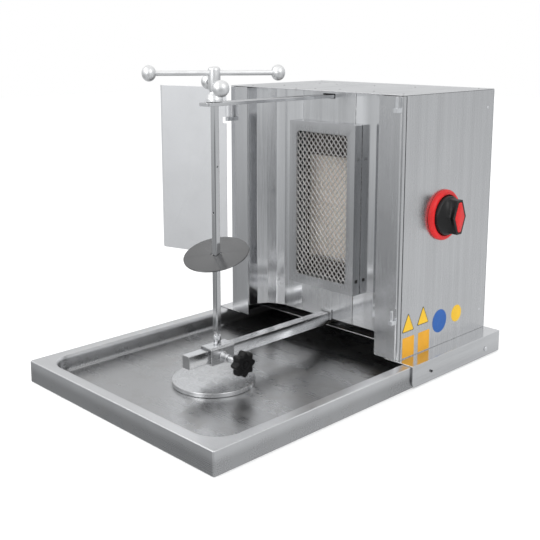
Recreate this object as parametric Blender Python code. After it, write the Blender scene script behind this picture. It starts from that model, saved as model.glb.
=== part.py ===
"""Hand-turned countertop gas grill with an upright spit, drip tray and one ceramic burner.

Metres, +Z up. The origin is the middle of the tray's footprint, on the counter. The spit
stands towards -Y, and the burner and its housing are towards +Y.
"""
import math

import bmesh
import bpy
from mathutils import Matrix, Vector

# Driving dimensions
SHEET = 0.0012                # thickness of the folded steel sheet
GAP = 0.0003                  # clearance between pieces that touch
TRAY_WIDTH, TRAY_DEPTH, TRAY_HEIGHT = 0.430, 0.636, 0.034
TRAY_RIM = 0.0165             # flat width of the tray's rim
TRAY_CORNER = 0.043           # plan radius of the recess
TRAY_FLOOR = 0.008            # height of the recess floor
HOUSING_HALF = 0.188          # half the width of the burner housing
HOUSING_FRONT, HOUSING_BACK = 0.075, 0.316
HOUSING_TOP = 0.440
CHAMBER_WALL = 0.124          # front face of the wall behind the spit
CHAMBER_BOTTOM = 0.0525
FLANGE_WIDTH = 0.045          # front flange of each side panel
RAIL_THICKNESS = 0.0029
BURNER_WIDTH, BURNER_HEIGHT, BURNER_DEPTH = 0.143, 0.278, 0.0172
BURNER_FRONT, BURNER_BOTTOM = 0.106, 0.1075
TILE_WIDTH, TILE_HEIGHT, TILE_THICKNESS = 0.132, 0.092, 0.013
TILE_FRONT, TILE_BOTTOM = 0.152, 0.145
SPIT_Y = -0.123
SPIT_SIDE = 0.010             # the spit is a square bar
ARM_WIDTH, ARM_BOTTOM, ARM_HEIGHT = 0.016, 0.043, 0.020
ARM_FRONT = -0.1845
SLEEVE_LENGTH, SLEEVE_WALL = 0.045, 0.0046
CLAMP_Z = 0.050               # height of the clamp screw
TOP_ARM_BOTTOM, TOP_ARM_THICKNESS, TOP_ARM_WIDTH = 0.4255, 0.005, 0.024
TOP_ARM_BACK = 0.185
HANDLE_REACH = 0.0925         # from the spit's axis to the middle of a handle ball
HANDLE_TURN = math.radians(54.4)
UPPER_ROD_Z, LOWER_ROD_Z = 0.472, 0.455
UPPER_DISC_Z, UPPER_DISC_RADIUS = 0.206, 0.0495
LOWER_DISC_Y, LOWER_DISC_RADIUS = SPIT_Y - 0.008, 0.0635
WING_AXIS = (-0.182, 0.0665)
WING_LENGTH = 0.150
WING_ANGLE = math.radians(195.8)
WING_BOTTOM, WING_TOP = 0.1386, 0.4369
PEG_LEVELS = {("left", "lower"): 0.1245, ("left", "upper"): 0.3790,
              ("right", "lower"): 0.0950, ("right", "upper"): 0.4150}
PEG_HALF, PEG_BLOCK, PEG_HEIGHT = 0.0036, 0.0065, 0.0220
PIN_RADIUS, KNUCKLE_RADIUS = 0.0024, 0.0048
KNOB_Y, KNOB_Z = 0.183, 0.2495
BEZEL_RADIUS, KNOB_RADIUS = 0.040, 0.031
VALVE_X, VALVE_RADIUS = 0.160, 0.015
MIXER_Y = 0.183               # the venturi's and the injector's axis
PIPE_Z = 0.0765
INLET_X, INLET_Z = 0.160, 0.090

RAIL_TOP = TRAY_HEIGHT + GAP + 0.0014
PANEL_BOTTOM = RAIL_TOP + GAP
PANEL_TOP = HOUSING_TOP - SHEET - GAP

MATERIALS = {}


def clear_scene():
    for obj in list(bpy.data.objects):
        bpy.data.objects.remove(obj, do_unlink=True)


def finish(name, colour, roughness, metallic):
    """Return the named Principled material, made once."""
    if name not in MATERIALS:
        material = bpy.data.materials.new(name)
        material.use_nodes = True
        shader = material.node_tree.nodes["Principled BSDF"]
        shader.inputs["Base Color"].default_value = (*colour, 1.0)
        shader.inputs["Roughness"].default_value = roughness
        shader.inputs["Metallic"].default_value = metallic
        MATERIALS[name] = material
    return MATERIALS[name]


def steel():
    return finish("brushed_steel", (0.62, 0.63, 0.65), 0.28, 1.0)


def chrome():
    return finish("bright_chrome", (0.78, 0.79, 0.80), 0.10, 1.0)


def cast():
    return finish("cast_aluminium", (0.66, 0.67, 0.68), 0.42, 1.0)


def brass():
    return finish("brass", (0.72, 0.55, 0.26), 0.30, 1.0)


def black():
    return finish("black_plastic", (0.018, 0.018, 0.020), 0.40, 0.0)


def red():
    return finish("red_plastic", (0.62, 0.015, 0.02), 0.38, 0.0)


def ceramic():
    return finish("ceramic_tile", (0.80, 0.66, 0.56), 0.90, 0.0)


def emit(name, bm, material, smooth=False):
    """Turn a bmesh into a named object."""
    bmesh.ops.recalc_face_normals(bm, faces=bm.faces)
    mesh = bpy.data.meshes.new(name)
    bm.to_mesh(mesh)
    bm.free()
    mesh.materials.append(material)
    if smooth:
        mesh.shade_smooth()
        mesh.set_sharp_from_angle(angle=math.radians(38))
    obj = bpy.data.objects.new(name, mesh)
    bpy.context.collection.objects.link(obj)
    return obj


def box(name, low, high, material):
    bm = bmesh.new()
    bmesh.ops.create_cube(bm, size=1.0)
    low, high = Vector(low), Vector(high)
    size = high - low
    bmesh.ops.scale(bm, vec=size, verts=bm.verts)
    bmesh.ops.translate(bm, vec=(low + high) / 2, verts=bm.verts)
    return emit(name, bm, material)


def prism(name, outline, axis, start, end, material, smooth=False):
    """Extrude a closed outline along an axis: (x, y) along Z, (y, z) along X, (x, z) along Y."""
    def lift(point, level):
        a, b = point
        return {"X": (level, a, b), "Y": (a, level, b), "Z": (a, b, level)}[axis]
    bm = bmesh.new()
    near = [bm.verts.new(lift(point, start)) for point in outline]
    far = [bm.verts.new(lift(point, end)) for point in outline]
    bm.faces.new(near)
    bm.faces.new(far)
    count = len(outline)
    for i in range(count):
        j = (i + 1) % count
        bm.faces.new((near[i], near[j], far[j], far[i]))
    return emit(name, bm, material, smooth)


def loft(name, loops, material, smooth=False):
    """Bridge closed loops of equal length, and cap the first and the last."""
    bm = bmesh.new()
    rows = [[bm.verts.new(point) for point in loop] for loop in loops]
    bm.faces.new(rows[0])
    bm.faces.new(rows[-1])
    count = len(rows[0])
    for lower, upper in zip(rows, rows[1:]):
        for i in range(count):
            j = (i + 1) % count
            bm.faces.new((lower[i], lower[j], upper[j], upper[i]))
    return emit(name, bm, material, smooth)


def axis_frame(direction):
    """A matrix that carries +Z to the given direction."""
    return Vector((0, 0, 1)).rotation_difference(Vector(direction)).to_matrix().to_4x4()


def turned(name, profile, centre, direction, material, steps=24):
    """Turn (radius, height) points about an axis; a radius of 0 is a pole.

    A profile without poles closes on itself and makes a ring.
    """
    bm = bmesh.new()
    place = Matrix.Translation(centre) @ axis_frame(direction)
    rows = []
    for radius, height in profile:
        if radius == 0:
            rows.append([bm.verts.new(place @ Vector((0, 0, height)))] * steps)
            continue
        angles = [math.tau * step / steps for step in range(steps)]
        points = [Vector((radius * math.cos(a), radius * math.sin(a), height)) for a in angles]
        rows.append([bm.verts.new(place @ point) for point in points])
    pairs = list(zip(rows, rows[1:]))
    if profile[0][0] > 0:
        pairs.append((rows[-1], rows[0]))
    for lower, upper in pairs:
        for i in range(steps):
            j = (i + 1) % steps
            corners = [lower[i], lower[j], upper[j], upper[i]]
            bm.faces.new(list(dict.fromkeys(corners)))
    return emit(name, bm, material, smooth=True)


def rod(name, radius, low, high, centre, direction, material, steps=16, chamfer=0.0005):
    """A round bar between two heights along an axis, with chamfered ends unless chamfer is 0."""
    profile = [(0, low), (radius, low), (radius, high), (0, high)]
    if chamfer:
        profile[1:3] = [(radius - chamfer, low), (radius, low + chamfer),
                        (radius, high - chamfer), (radius - chamfer, high)]
    return turned(name, profile, centre, direction, material, steps)


def ring(name, outer, inner, low, high, centre, direction, material, steps=24, chamfer=0.0005):
    """A bush or a tube: a ring with chamfered outer edges."""
    profile = [(inner, low), (outer - chamfer, low), (outer, low + chamfer),
               (outer, high - chamfer), (outer - chamfer, high), (inner, high)]
    return turned(name, profile, centre, direction, material, steps)


def combine(obj, operation, others):
    """Add hidden Boolean operands to an object."""
    for other in others:
        other.hide_render = True
        other.display_type = "WIRE"
        modifier = obj.modifiers.new(operation.title() + "_" + other.name, "BOOLEAN")
        modifier.operation = operation
        modifier.object = other
    return obj


def cut(obj, *cutters):
    return combine(obj, "DIFFERENCE", cutters)


def join(obj, *additions):
    return combine(obj, "UNION", additions)


def arc(centre, radius, start, end, steps):
    """Points on a circle between two angles in degrees, both ends included."""
    angles = [math.radians(start + (end - start) * i / steps) for i in range(steps + 1)]
    return [(centre[0] + radius * math.cos(a), centre[1] + radius * math.sin(a)) for a in angles]


def rounded_rectangle(low, high, radius, steps=6):
    """A closed outline of a rectangle with round corners, anticlockwise."""
    left, bottom = low[0] + radius, low[1] + radius
    right, top = high[0] - radius, high[1] - radius
    points = arc((right, top), radius, 0, 90, steps) + arc((left, top), radius, 90, 180, steps)
    points += arc((left, bottom), radius, 180, 270, steps)
    return points + arc((right, bottom), radius, 270, 360, steps)


def ribbon(path, thickness):
    """The outline of a bent sheet: the path, and the path moved to its left."""
    moved = []
    for i, point in enumerate(path):
        here = Vector(point)
        before = here - Vector(path[i - 1]) if i else Vector(path[1]) - here
        after = Vector(path[i + 1]) - here if i + 1 < len(path) else before
        before, after = before.normalized(), after.normalized()
        bisector = (Vector((-before.y, before.x)) + Vector((-after.y, after.x))).normalized()
        reach = thickness / max(bisector.dot(Vector((-before.y, before.x))), 0.3)
        moved.append(tuple(here + bisector * reach))
    return list(path) + moved[::-1]


def mirrored(path):
    """The same path on the other side of X = 0, kept in its own direction of bend."""
    return [(-x, y) for x, y in reversed(path)]


def hang(empty_name, origin, parts, parent=None):
    """Give a body an empty on its joint's axis, and hang the body's pieces from it."""
    empty = bpy.data.objects.new(empty_name, None)
    empty.empty_display_size = 0.03
    bpy.context.collection.objects.link(empty)
    origin = Vector(origin)
    offset = origin
    if parent is not None:
        empty.parent = parent[0]
        offset = origin - parent[1]
    empty.location = offset
    for part in parts:
        part.data.transform(Matrix.Translation(-origin))
        part.parent = empty
    return empty, origin


# Base

def drip_tray():
    """One folded sheet: skirt with a bottom hem, flat rim, and a recess with round corners."""
    half_x, half_y = TRAY_WIDTH / 2, TRAY_DEPTH / 2
    wall_in = TRAY_RIM + 0.005
    fold = 0.0045
    hem = 0.010

    def loop(inset, radius, z):
        low = (-half_x + inset, -half_y + inset)
        high = (half_x - inset, half_y - inset)
        return [(x, y, z) for x, y in rounded_rectangle(low, high, radius, 8)]

    top = TRAY_HEIGHT
    under = TRAY_HEIGHT - SHEET
    low = TRAY_FLOOR - SHEET
    tops = [loop(wall_in + 0.007, TRAY_CORNER - 0.012, TRAY_FLOOR),
            loop(wall_in + 0.002, TRAY_CORNER - 0.007, TRAY_FLOOR + 0.002),
            loop(wall_in + 0.0005, TRAY_CORNER - 0.006, TRAY_FLOOR + 0.006),
            loop(wall_in - 0.001, TRAY_CORNER - 0.004, top - fold),
            loop(TRAY_RIM + 0.0015, TRAY_CORNER - 0.001, top - 0.0011),
            loop(TRAY_RIM, TRAY_CORNER, top),
            loop(0.0012, 0.0018, top),
            loop(0.0, 0.003, top - 0.0012),
            loop(0.0, 0.003, 0.0)]
    unders = [loop(hem, 0.0015, 0.0),
              loop(hem, 0.0015, SHEET),
              loop(SHEET, 0.0015, SHEET),
              loop(SHEET, 0.0015, under),
              loop(TRAY_RIM - 0.001, TRAY_CORNER, under),
              loop(wall_in - 0.001 - SHEET, TRAY_CORNER - 0.003, top - fold),
              loop(wall_in - 0.0008, TRAY_CORNER - 0.005, TRAY_FLOOR + 0.005),
              loop(wall_in + 0.007, TRAY_CORNER - 0.012, low)]
    return loft("drip_tray", tops + unders, steel(), smooth=True)


def tray_stiffener():
    reach = TRAY_WIDTH / 2 - 0.045
    return box("tray_stiffener", (-reach, -0.020, 0), (reach, 0.020, TRAY_FLOOR - SHEET - GAP), steel())


def side_rail(side, name):
    """The bracket over the tray's rim that carries one side of the housing."""
    inner = TRAY_WIDTH / 2 + GAP
    outer = inner + RAIL_THICKNESS
    ledge = TRAY_HEIGHT + GAP
    outline = [(0.165, ledge), (inner, ledge), (inner, 0.001), (outer, 0.001), (outer, RAIL_TOP),
               (0.165, RAIL_TOP)]
    if side < 0:
        outline = [(-x, z) for x, z in reversed(outline)]
    rail = prism(name, outline, "Y", HOUSING_FRONT, TRAY_DEPTH / 2 - GAP, steel())
    radius = 0.010
    corner = [(HOUSING_FRONT - 0.002, -0.001), (HOUSING_FRONT + radius, -0.001)]
    corner += arc((HOUSING_FRONT + radius, 0.001 + radius), radius, 270, 180, 6)
    corner += [(HOUSING_FRONT - 0.002, 0.001 + radius)]
    low, high = sorted((side * (inner - 0.0002), side * (outer + 0.001)))
    cutter = prism(name + "_corner", corner, "X", low, high, steel())
    tilt = Matrix.Rotation(math.radians(-25), 2)
    slot_middle = Vector((0.1223, 0.0166))
    slot = [tuple(slot_middle + tilt @ Vector(p))
            for p in rounded_rectangle((-0.0055, -0.0018), (0.0055, 0.0018), 0.0017, 4)]
    slot_cutter = prism(name + "_slot", slot, "X", low, high, steel())
    return cut(rail, cutter, slot_cutter)


def rail_screw(side, name):
    face = TRAY_WIDTH / 2 + GAP + RAIL_THICKNESS + GAP
    profile = [(0, 0), (0.0042, 0), (0.0042, 0.0006), (0.0030, 0.0016), (0, 0.0021)]
    return turned(name, profile, (side * face, 0.2762, 0.0133), (side, 0, 0), steel(), 16)


# Housing

def side_panel_path():
    """Plan of the right panel's outer face: front flange, round corner, side, rear flange."""
    radius = 0.008
    corner = (HOUSING_HALF - radius, HOUSING_FRONT + radius)
    path = [(HOUSING_HALF - FLANGE_WIDTH, HOUSING_FRONT)]
    path += arc(corner, radius, 270, 360, 6)
    return path + [(HOUSING_HALF, HOUSING_BACK), (HOUSING_HALF - 0.012, HOUSING_BACK)]


def side_panel_right():
    outline = ribbon(side_panel_path(), SHEET)
    panel = prism("side_panel_right", outline, "Z", PANEL_BOTTOM, PANEL_TOP, steel())
    hole = rod("spindle_hole", 0.006, -0.006, 0.006, (HOUSING_HALF, KNOB_Y, KNOB_Z), (1, 0, 0), steel(),
               chamfer=0)
    return cut(panel, hole)


def side_panel_left():
    outline = ribbon(mirrored(side_panel_path()), SHEET)
    return prism("side_panel_left", outline, "Z", PANEL_BOTTOM, PANEL_TOP, steel())


def roof_cover():
    radius = 0.008
    outline = [(-HOUSING_HALF, HOUSING_BACK)]
    outline += arc((-HOUSING_HALF + radius, HOUSING_FRONT + radius), radius, 180, 270, 6)
    outline += arc((HOUSING_HALF - radius, HOUSING_FRONT + radius), radius, 270, 360, 6)
    outline += [(HOUSING_HALF, HOUSING_BACK)]
    return prism("roof_cover", outline, "Z", HOUSING_TOP - SHEET, HOUSING_TOP, steel())


def rear_cover():
    low = (-HOUSING_HALF + 0.0005, HOUSING_BACK + GAP, PANEL_BOTTOM)
    high = (HOUSING_HALF - 0.0005, HOUSING_BACK + GAP + SHEET, PANEL_TOP)
    cover = box("rear_cover", low, high, steel())
    cutters = []
    for row in range(6):
        for column in (-1, 1):
            middle = column * 0.070
            z = 0.310 + row * 0.016
            slot = rounded_rectangle((middle - 0.035, z - 0.0028), (middle + 0.035, z + 0.0028), 0.0027, 3)
            name = f"rear_vent_{row}_{column}"
            cutters.append(prism(name, slot, "Y", HOUSING_BACK - 0.002, HOUSING_BACK + 0.004, steel()))
    inlet = (INLET_X, HOUSING_BACK, INLET_Z)
    cutters.append(rod("inlet_hole", 0.0085, -0.004, 0.004, inlet, (0, 1, 0), steel(), chamfer=0))
    return cut(cover, *cutters)


def housing_floor():
    reach = HOUSING_HALF - SHEET - 2 * GAP
    low = (-reach, CHAMBER_WALL + 0.006, PANEL_BOTTOM)
    high = (reach, HOUSING_BACK - SHEET - GAP, PANEL_BOTTOM + SHEET)
    return box("housing_floor", low, high, steel())


# Chamber behind the spit

def chamber_path():
    """Plan of the left wall's front face: a quarter arc from the flange's edge, then the seam's flat."""
    front = HOUSING_FRONT + SHEET + GAP
    radius = CHAMBER_WALL - front
    corner = (-(HOUSING_HALF - FLANGE_WIDTH - 0.0005) + radius, front)
    return arc(corner, radius, 180, 90, 5) + [(-0.0567, CHAMBER_WALL)]


def chamber_wall_left():
    outline = ribbon(chamber_path(), SHEET)
    return prism("chamber_wall_left", outline, "Z", CHAMBER_BOTTOM, PANEL_TOP, steel())


def chamber_wall_right():
    outline = ribbon(mirrored(chamber_path()), SHEET)
    return prism("chamber_wall_right", outline, "Z", CHAMBER_BOTTOM, PANEL_TOP, steel())


def chamber_centre_panel():
    """The flat panel with the burner opening, the arm notch and the top arm's slot."""
    panel = box("chamber_centre_panel", (-0.0563, CHAMBER_WALL, CHAMBER_BOTTOM),
                (0.0563, CHAMBER_WALL + SHEET, PANEL_TOP), steel())
    front, back = CHAMBER_WALL - 0.002, CHAMBER_WALL + SHEET + 0.002
    opening = rounded_rectangle((-0.050, 0.125), (0.050, 0.365), 0.006, 3)
    notch_half = ARM_WIDTH / 2 + 0.0015
    slot_half = TOP_ARM_WIDTH / 2 + 0.0010
    slot_low = TOP_ARM_BOTTOM - 0.0012
    slot_high = TOP_ARM_BOTTOM + TOP_ARM_THICKNESS + 0.0012
    return cut(panel,
               prism("burner_opening", opening, "Y", front, back, steel()),
               box("arm_notch", (-notch_half, front, CHAMBER_BOTTOM - 0.002),
                   (notch_half, back, ARM_BOTTOM + ARM_HEIGHT + 0.0015), steel()),
               box("top_arm_slot", (-slot_half, front, slot_low), (slot_half, back, slot_high), steel()))


def arm_collar():
    """The trim that closes the notch around the lower arm."""
    inner = ARM_WIDTH / 2 + 0.0004
    outer = inner + 0.0042
    low, top = CHAMBER_BOTTOM - 0.002, ARM_BOTTOM + ARM_HEIGHT + 0.0004
    outline = [(-outer, low), (-inner, low), (-inner, top), (inner, top), (inner, low),
               (outer, low), (outer, top + 0.0050), (-outer, top + 0.0050)]
    return prism("arm_collar", outline, "Y", CHAMBER_WALL - GAP - 0.0022, CHAMBER_WALL - GAP, steel())


# Burner

def burner_cover_frame():
    """A folded frame in front of the wall, open at the back, on four lugs."""
    half = BURNER_WIDTH / 2
    top = BURNER_BOTTOM + BURNER_HEIGHT
    back = BURNER_FRONT + BURNER_DEPTH
    frame = box("burner_cover_frame", (-half, BURNER_FRONT, BURNER_BOTTOM), (half, back, top), steel())
    cavity = box("frame_cavity", (-half + SHEET, BURNER_FRONT + SHEET, BURNER_BOTTOM + SHEET),
                 (half - SHEET, back + 0.002, top - SHEET), steel())
    window = rounded_rectangle((-0.0555, BURNER_BOTTOM + 0.0165), (0.0555, top - 0.0165), 0.007, 4)
    opening = prism("frame_window", window, "Y", BURNER_FRONT - 0.002, back, steel())
    cut(frame, cavity, opening)
    lugs = []
    for side in (-1, 1):
        for z in (BURNER_BOTTOM + 0.020, top - 0.060):
            near, far = sorted((side * (half - SHEET), side * half))
            lug = box(f"frame_lug_{side}_{z:.2f}", (near, back - 0.004, z - 0.006),
                      (far, CHAMBER_WALL - GAP, z + 0.006), steel())
            lugs.append(lug)
    return join(frame, *lugs)


def burner_mesh():
    front = BURNER_FRONT + SHEET + GAP
    half = BURNER_WIDTH / 2 - SHEET - 0.001
    low = BURNER_BOTTOM + SHEET + 0.001
    high = BURNER_BOTTOM + BURNER_HEIGHT - SHEET - 0.001
    return box("burner_mesh", (-half, front, low), (half, front + 0.0012, high), steel())


def burner_box():
    """The open sleeve that holds the tiles, with a flange against the back of the wall."""
    front = CHAMBER_WALL + SHEET + GAP
    back = TILE_FRONT + TILE_THICKNESS
    half = TILE_WIDTH / 2 + GAP
    low, high = TILE_BOTTOM - GAP, TILE_BOTTOM + 2 * TILE_HEIGHT + 2 * GAP
    outer = half + SHEET
    sleeve = box("burner_box", (-outer, front, low - SHEET), (outer, back, high + SHEET), steel())
    flange = box("box_flange", (-outer, front, 0.118), (outer, front + SHEET, 0.372), steel())
    inside = box("box_inside", (-half, front - 0.002, low), (half, back + 0.002, high), steel())
    return cut(join(sleeve, flange), inside)


def ceramic_tile(level, name):
    low = TILE_BOTTOM + level * (TILE_HEIGHT + GAP)
    half = TILE_WIDTH / 2
    back = TILE_FRONT + TILE_THICKNESS
    return box(name, (-half, TILE_FRONT, low), (half, back, low + TILE_HEIGHT), ceramic())


def burner_plenum():
    """The mixing chamber behind the tiles, open towards them."""
    front = TILE_FRONT + TILE_THICKNESS + GAP
    half = TILE_WIDTH / 2 - 0.002
    low, high = TILE_BOTTOM + 0.002, TILE_BOTTOM + 2 * TILE_HEIGHT - 0.002
    back = front + 0.034
    shell = box("burner_plenum", (-half, front, low), (half, back, high), steel())
    hollow = box("plenum_hollow", (-half + SHEET, front - 0.002, low + SHEET),
                 (half - SHEET, back - SHEET, high - SHEET), steel())
    port = rod("plenum_port", 0.0105, -0.004, 0.004, (0, MIXER_Y, low), (0, 0, 1), steel(), chamfer=0)
    return cut(shell, hollow, port)


def mixer_tube():
    """The venturi below the plenum, with a bell mouth over the injector."""
    top = TILE_BOTTOM + 0.002 - GAP
    profile = [(0.0095, top), (0.0110, top), (0.0110, 0.115), (0.0145, 0.098), (0.0145, 0.092),
               (0.0133, 0.092), (0.0133, 0.097), (0.0095, 0.114)]
    return turned("mixer_tube", profile, (0, MIXER_Y, 0), (0, 0, 1), cast(), 24)


def gas_injector():
    """An elbow block with the jet pointing up into the mixer tube."""
    block = box("gas_injector", (-0.008, MIXER_Y - 0.007, PIPE_Z - 0.0065),
                (0.008, MIXER_Y + 0.007, PIPE_Z + 0.0065), brass())
    jet = rod("injector_jet", 0.0045, PIPE_Z, 0.094, (0, MIXER_Y, 0), (0, 0, 1), brass(), 12)
    return join(block, jet)


def pipe(name, points, radius, material):
    """A bent tube: rounded corners between straight runs."""
    bend = 0.012
    route = [Vector(points[0])]
    for before, here, after in zip(points, points[1:], points[2:]):
        before, here, after = Vector(before), Vector(here), Vector(after)
        start = here + (before - here).normalized() * bend
        end = here + (after - here).normalized() * bend
        for step in range(6):
            t = step / 5
            route.append(start * (1 - t) ** 2 + here * 2 * t * (1 - t) + end * t ** 2)
    route.append(Vector(points[-1]))
    curve = bpy.data.curves.new(name, "CURVE")
    curve.dimensions = "3D"
    curve.bevel_depth = radius
    curve.bevel_resolution = 1
    curve.use_fill_caps = True
    spline = curve.splines.new("POLY")
    spline.points.add(len(route) - 1)
    for point, position in zip(spline.points, route):
        point.co = (*position, 1)
    curve.materials.append(material)
    obj = bpy.data.objects.new(name, curve)
    bpy.context.collection.objects.link(obj)
    return obj


def burner_pipe():
    start = (0.0083, MIXER_Y, PIPE_Z)
    below_valve = (VALVE_X, MIXER_Y, PIPE_Z)
    end = (VALVE_X, MIXER_Y, KNOB_Z - VALVE_RADIUS - GAP)
    return pipe("burner_pipe", [start, below_valve, end], 0.004, brass())


def inlet_pipe():
    start = (VALVE_X, KNOB_Y + VALVE_RADIUS + GAP, KNOB_Z)
    behind = (VALVE_X, HOUSING_BACK - 0.030, KNOB_Z)
    below = (VALVE_X, HOUSING_BACK - 0.030, INLET_Z)
    end = (VALVE_X, HOUSING_BACK - 0.0075, INLET_Z)
    return pipe("inlet_pipe", [start, behind, below, end], 0.004, brass())


def inlet_nipple():
    """The hose connection that passes through the rear cover."""
    profile = [(0, -0.007), (0.0070, -0.007), (0.0070, 0.004), (0.0105, 0.004), (0.0105, 0.010),
               (0.0065, 0.010), (0.0065, 0.013), (0.0078, 0.015), (0.0060, 0.020), (0.0078, 0.022),
               (0.0055, 0.028), (0.0030, 0.028), (0.0030, 0.006), (0, 0.006)]
    return turned("inlet_nipple", profile, (INLET_X, HOUSING_BACK, INLET_Z), (0, 1, 0), brass(), 24)


def thermocouple():
    """The flame sensor that lies across the lower tile."""
    return rod("thermocouple", 0.0016, -0.045, 0.060, (0, TILE_FRONT - 0.006, 0.152), (1, 0, 0.03),
               chrome(), 12, 0.0004)


# Gas control

def gas_valve():
    bore, bottom = 0.0060, 0.158
    profile = [(0, 0.140), (VALVE_RADIUS, 0.140), (VALVE_RADIUS, 0.176), (0.0115, 0.176), (0.0115, 0.1862),
               (bore, 0.1862), (bore, bottom), (0, bottom)]
    return turned("gas_valve", profile, (0, KNOB_Y, KNOB_Z), (1, 0, 0), brass(), 24)


def valve_plunger():
    return rod("valve_plunger", 0.0040, 0.1625, 0.1800, (0, KNOB_Y, KNOB_Z), (1, 0, 0), brass(), 16)


def valve_spindle():
    return rod("valve_spindle", 0.0042, 0.1803, 0.1990, (0, KNOB_Y, KNOB_Z), (1, 0, 0), steel(), 16)


def knob_bezel():
    """The ring on the panel, with a shallow well that the knob sinks into."""
    face = HOUSING_HALF + GAP
    well = KNOB_RADIUS + 0.0013
    profile = [(0.0062, face), (BEZEL_RADIUS, face), (BEZEL_RADIUS, face + 0.0030),
               (BEZEL_RADIUS - 0.0035, face + 0.0076), (well, face + 0.0076), (well, face + 0.0009),
               (0.0062, face + 0.0009)]
    return turned("knob_bezel", profile, (0, KNOB_Y, KNOB_Z), (1, 0, 0), red(), 40)


def grip_outline(width, height, taper):
    """The knob's grip seen from the front: a long hexagon that narrows to both ends."""
    return [(KNOB_Y - taper, KNOB_Z + height), (KNOB_Y - width, KNOB_Z), (KNOB_Y - taper, KNOB_Z - height),
            (KNOB_Y + taper, KNOB_Z - height), (KNOB_Y + width, KNOB_Z), (KNOB_Y + taper, KNOB_Z + height)]


def gas_knob():
    back = 0.1925
    profile = [(0, 0.1994), (0.0046, 0.1994), (0.0046, back + 0.001), (0.0060, back), (KNOB_RADIUS, back),
               (KNOB_RADIUS, back + 0.0065), (KNOB_RADIUS - 0.002, back + 0.0095), (0, back + 0.0095)]
    knob = turned("gas_knob", profile, (0, KNOB_Y, KNOB_Z), (1, 0, 0), black(), 36)
    grip = prism("knob_grip", grip_outline(0.0165, 0.0270, 0.0055), "X", back + 0.008, 0.2195, black())
    seat = prism("pointer_seat", grip_outline(0.0128, 0.0235, 0.0032), "X", 0.2180, 0.2230, black())
    return cut(join(knob, grip), seat)


def knob_pointer():
    return prism("knob_pointer", grip_outline(0.0124, 0.0230, 0.0030), "X", 0.2183, 0.2201, red())


# Arms and carriage

def lower_arm():
    half = ARM_WIDTH / 2
    outline = rounded_rectangle((-half, ARM_BOTTOM), (half, ARM_BOTTOM + ARM_HEIGHT), 0.0008, 2)
    return prism("lower_arm", outline, "Y", ARM_FRONT, 0.300, steel())


def arm_seat():
    floor = PANEL_BOTTOM + SHEET + GAP
    return box("arm_seat", (-0.025, 0.180, floor), (0.025, 0.300, ARM_BOTTOM - GAP), steel())


def clamp_sleeve():
    half = ARM_WIDTH / 2 + 0.0004
    outer = half + SLEEVE_WALL
    low, high = ARM_BOTTOM - 0.0004, ARM_BOTTOM + ARM_HEIGHT + 0.0004
    front, back = SPIT_Y - SLEEVE_LENGTH / 2, SPIT_Y + SLEEVE_LENGTH / 2
    outline = rounded_rectangle((-outer, low - 0.0031), (outer, high + 0.0031), 0.0015, 3)
    sleeve = prism("clamp_sleeve", outline, "Y", front, back, steel())
    passage = box("sleeve_passage", (-half, front - 0.002, low), (half, back + 0.002, high), steel())
    hole = rod("screw_hole", 0.0044, 0.004, 0.016, (0, SPIT_Y, CLAMP_Z), (1, 0, 0), steel(), 20, 0)
    return cut(sleeve, passage, hole)


def sleeve_top():
    return ARM_BOTTOM + ARM_HEIGHT + 0.0004 + 0.0031


def spit_bearing():
    low = sleeve_top() + GAP
    profile = [(0, low), (0.0080, low), (0.0080, low + 0.0012), (0.0055, low + 0.0020),
               (0.0055, low + 0.0130), (0.0050, low + 0.0135), (0.0034, low + 0.0135), (0.0034, low + 0.0030),
               (0, low + 0.0030)]
    return turned("spit_bearing", profile, (0, SPIT_Y, 0), (0, 0, 1), chrome(), 24)


def clamp_nut():
    low = ARM_WIDTH / 2 + 0.0004 + SLEEVE_WALL + GAP
    return ring("clamp_nut", 0.0085, 0.0044, low, 0.0255, (0, SPIT_Y, CLAMP_Z), (1, 0, 0), steel())


def clamp_pad():
    return rod("clamp_pad", 0.0040, 0.0086, 0.0106, (0, SPIT_Y, CLAMP_Z), (1, 0, 0), brass(), 16, 0.0003)


def clamp_stem():
    return rod("clamp_stem", 0.0037, 0.0109, 0.0462, (0, SPIT_Y, CLAMP_Z), (1, 0, 0), chrome(), 16)


def star_knob():
    """A grip with eight round lobes and a hub towards the stem."""
    lobes, mean, swing, steps = 8, 0.0180, 0.0022, 96
    outline = []
    for step in range(steps):
        angle = math.tau * step / steps
        radius = mean + swing * math.cos(lobes * angle)
        outline.append((SPIT_Y + radius * math.cos(angle), CLAMP_Z + radius * math.sin(angle)))
    knob = prism("star_knob", outline, "X", 0.0500, 0.0640, black(), smooth=True)
    hub = rod("star_hub", 0.0095, 0.0465, 0.0600, (0, SPIT_Y, CLAMP_Z), (1, 0, 0), black(), 20, 0.0008)
    return join(knob, hub)


def top_arm():
    half = TOP_ARM_WIDTH / 2
    front = SPIT_Y - 0.022
    radius = half / 2
    outline = [(-half, TOP_ARM_BACK)] + arc((-radius, front + radius), radius, 180, 270, 4)
    outline += arc((radius, front + radius), radius, 270, 360, 4) + [(half, TOP_ARM_BACK)]
    arm = prism("top_arm", outline, "Z", TOP_ARM_BOTTOM, TOP_ARM_BOTTOM + TOP_ARM_THICKNESS, steel())
    hole = rod("top_arm_hole", 0.0078, -0.004, 0.010, (0, SPIT_Y, TOP_ARM_BOTTOM), (0, 0, 1), steel(), 24, 0)
    return cut(arm, hole)


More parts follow.
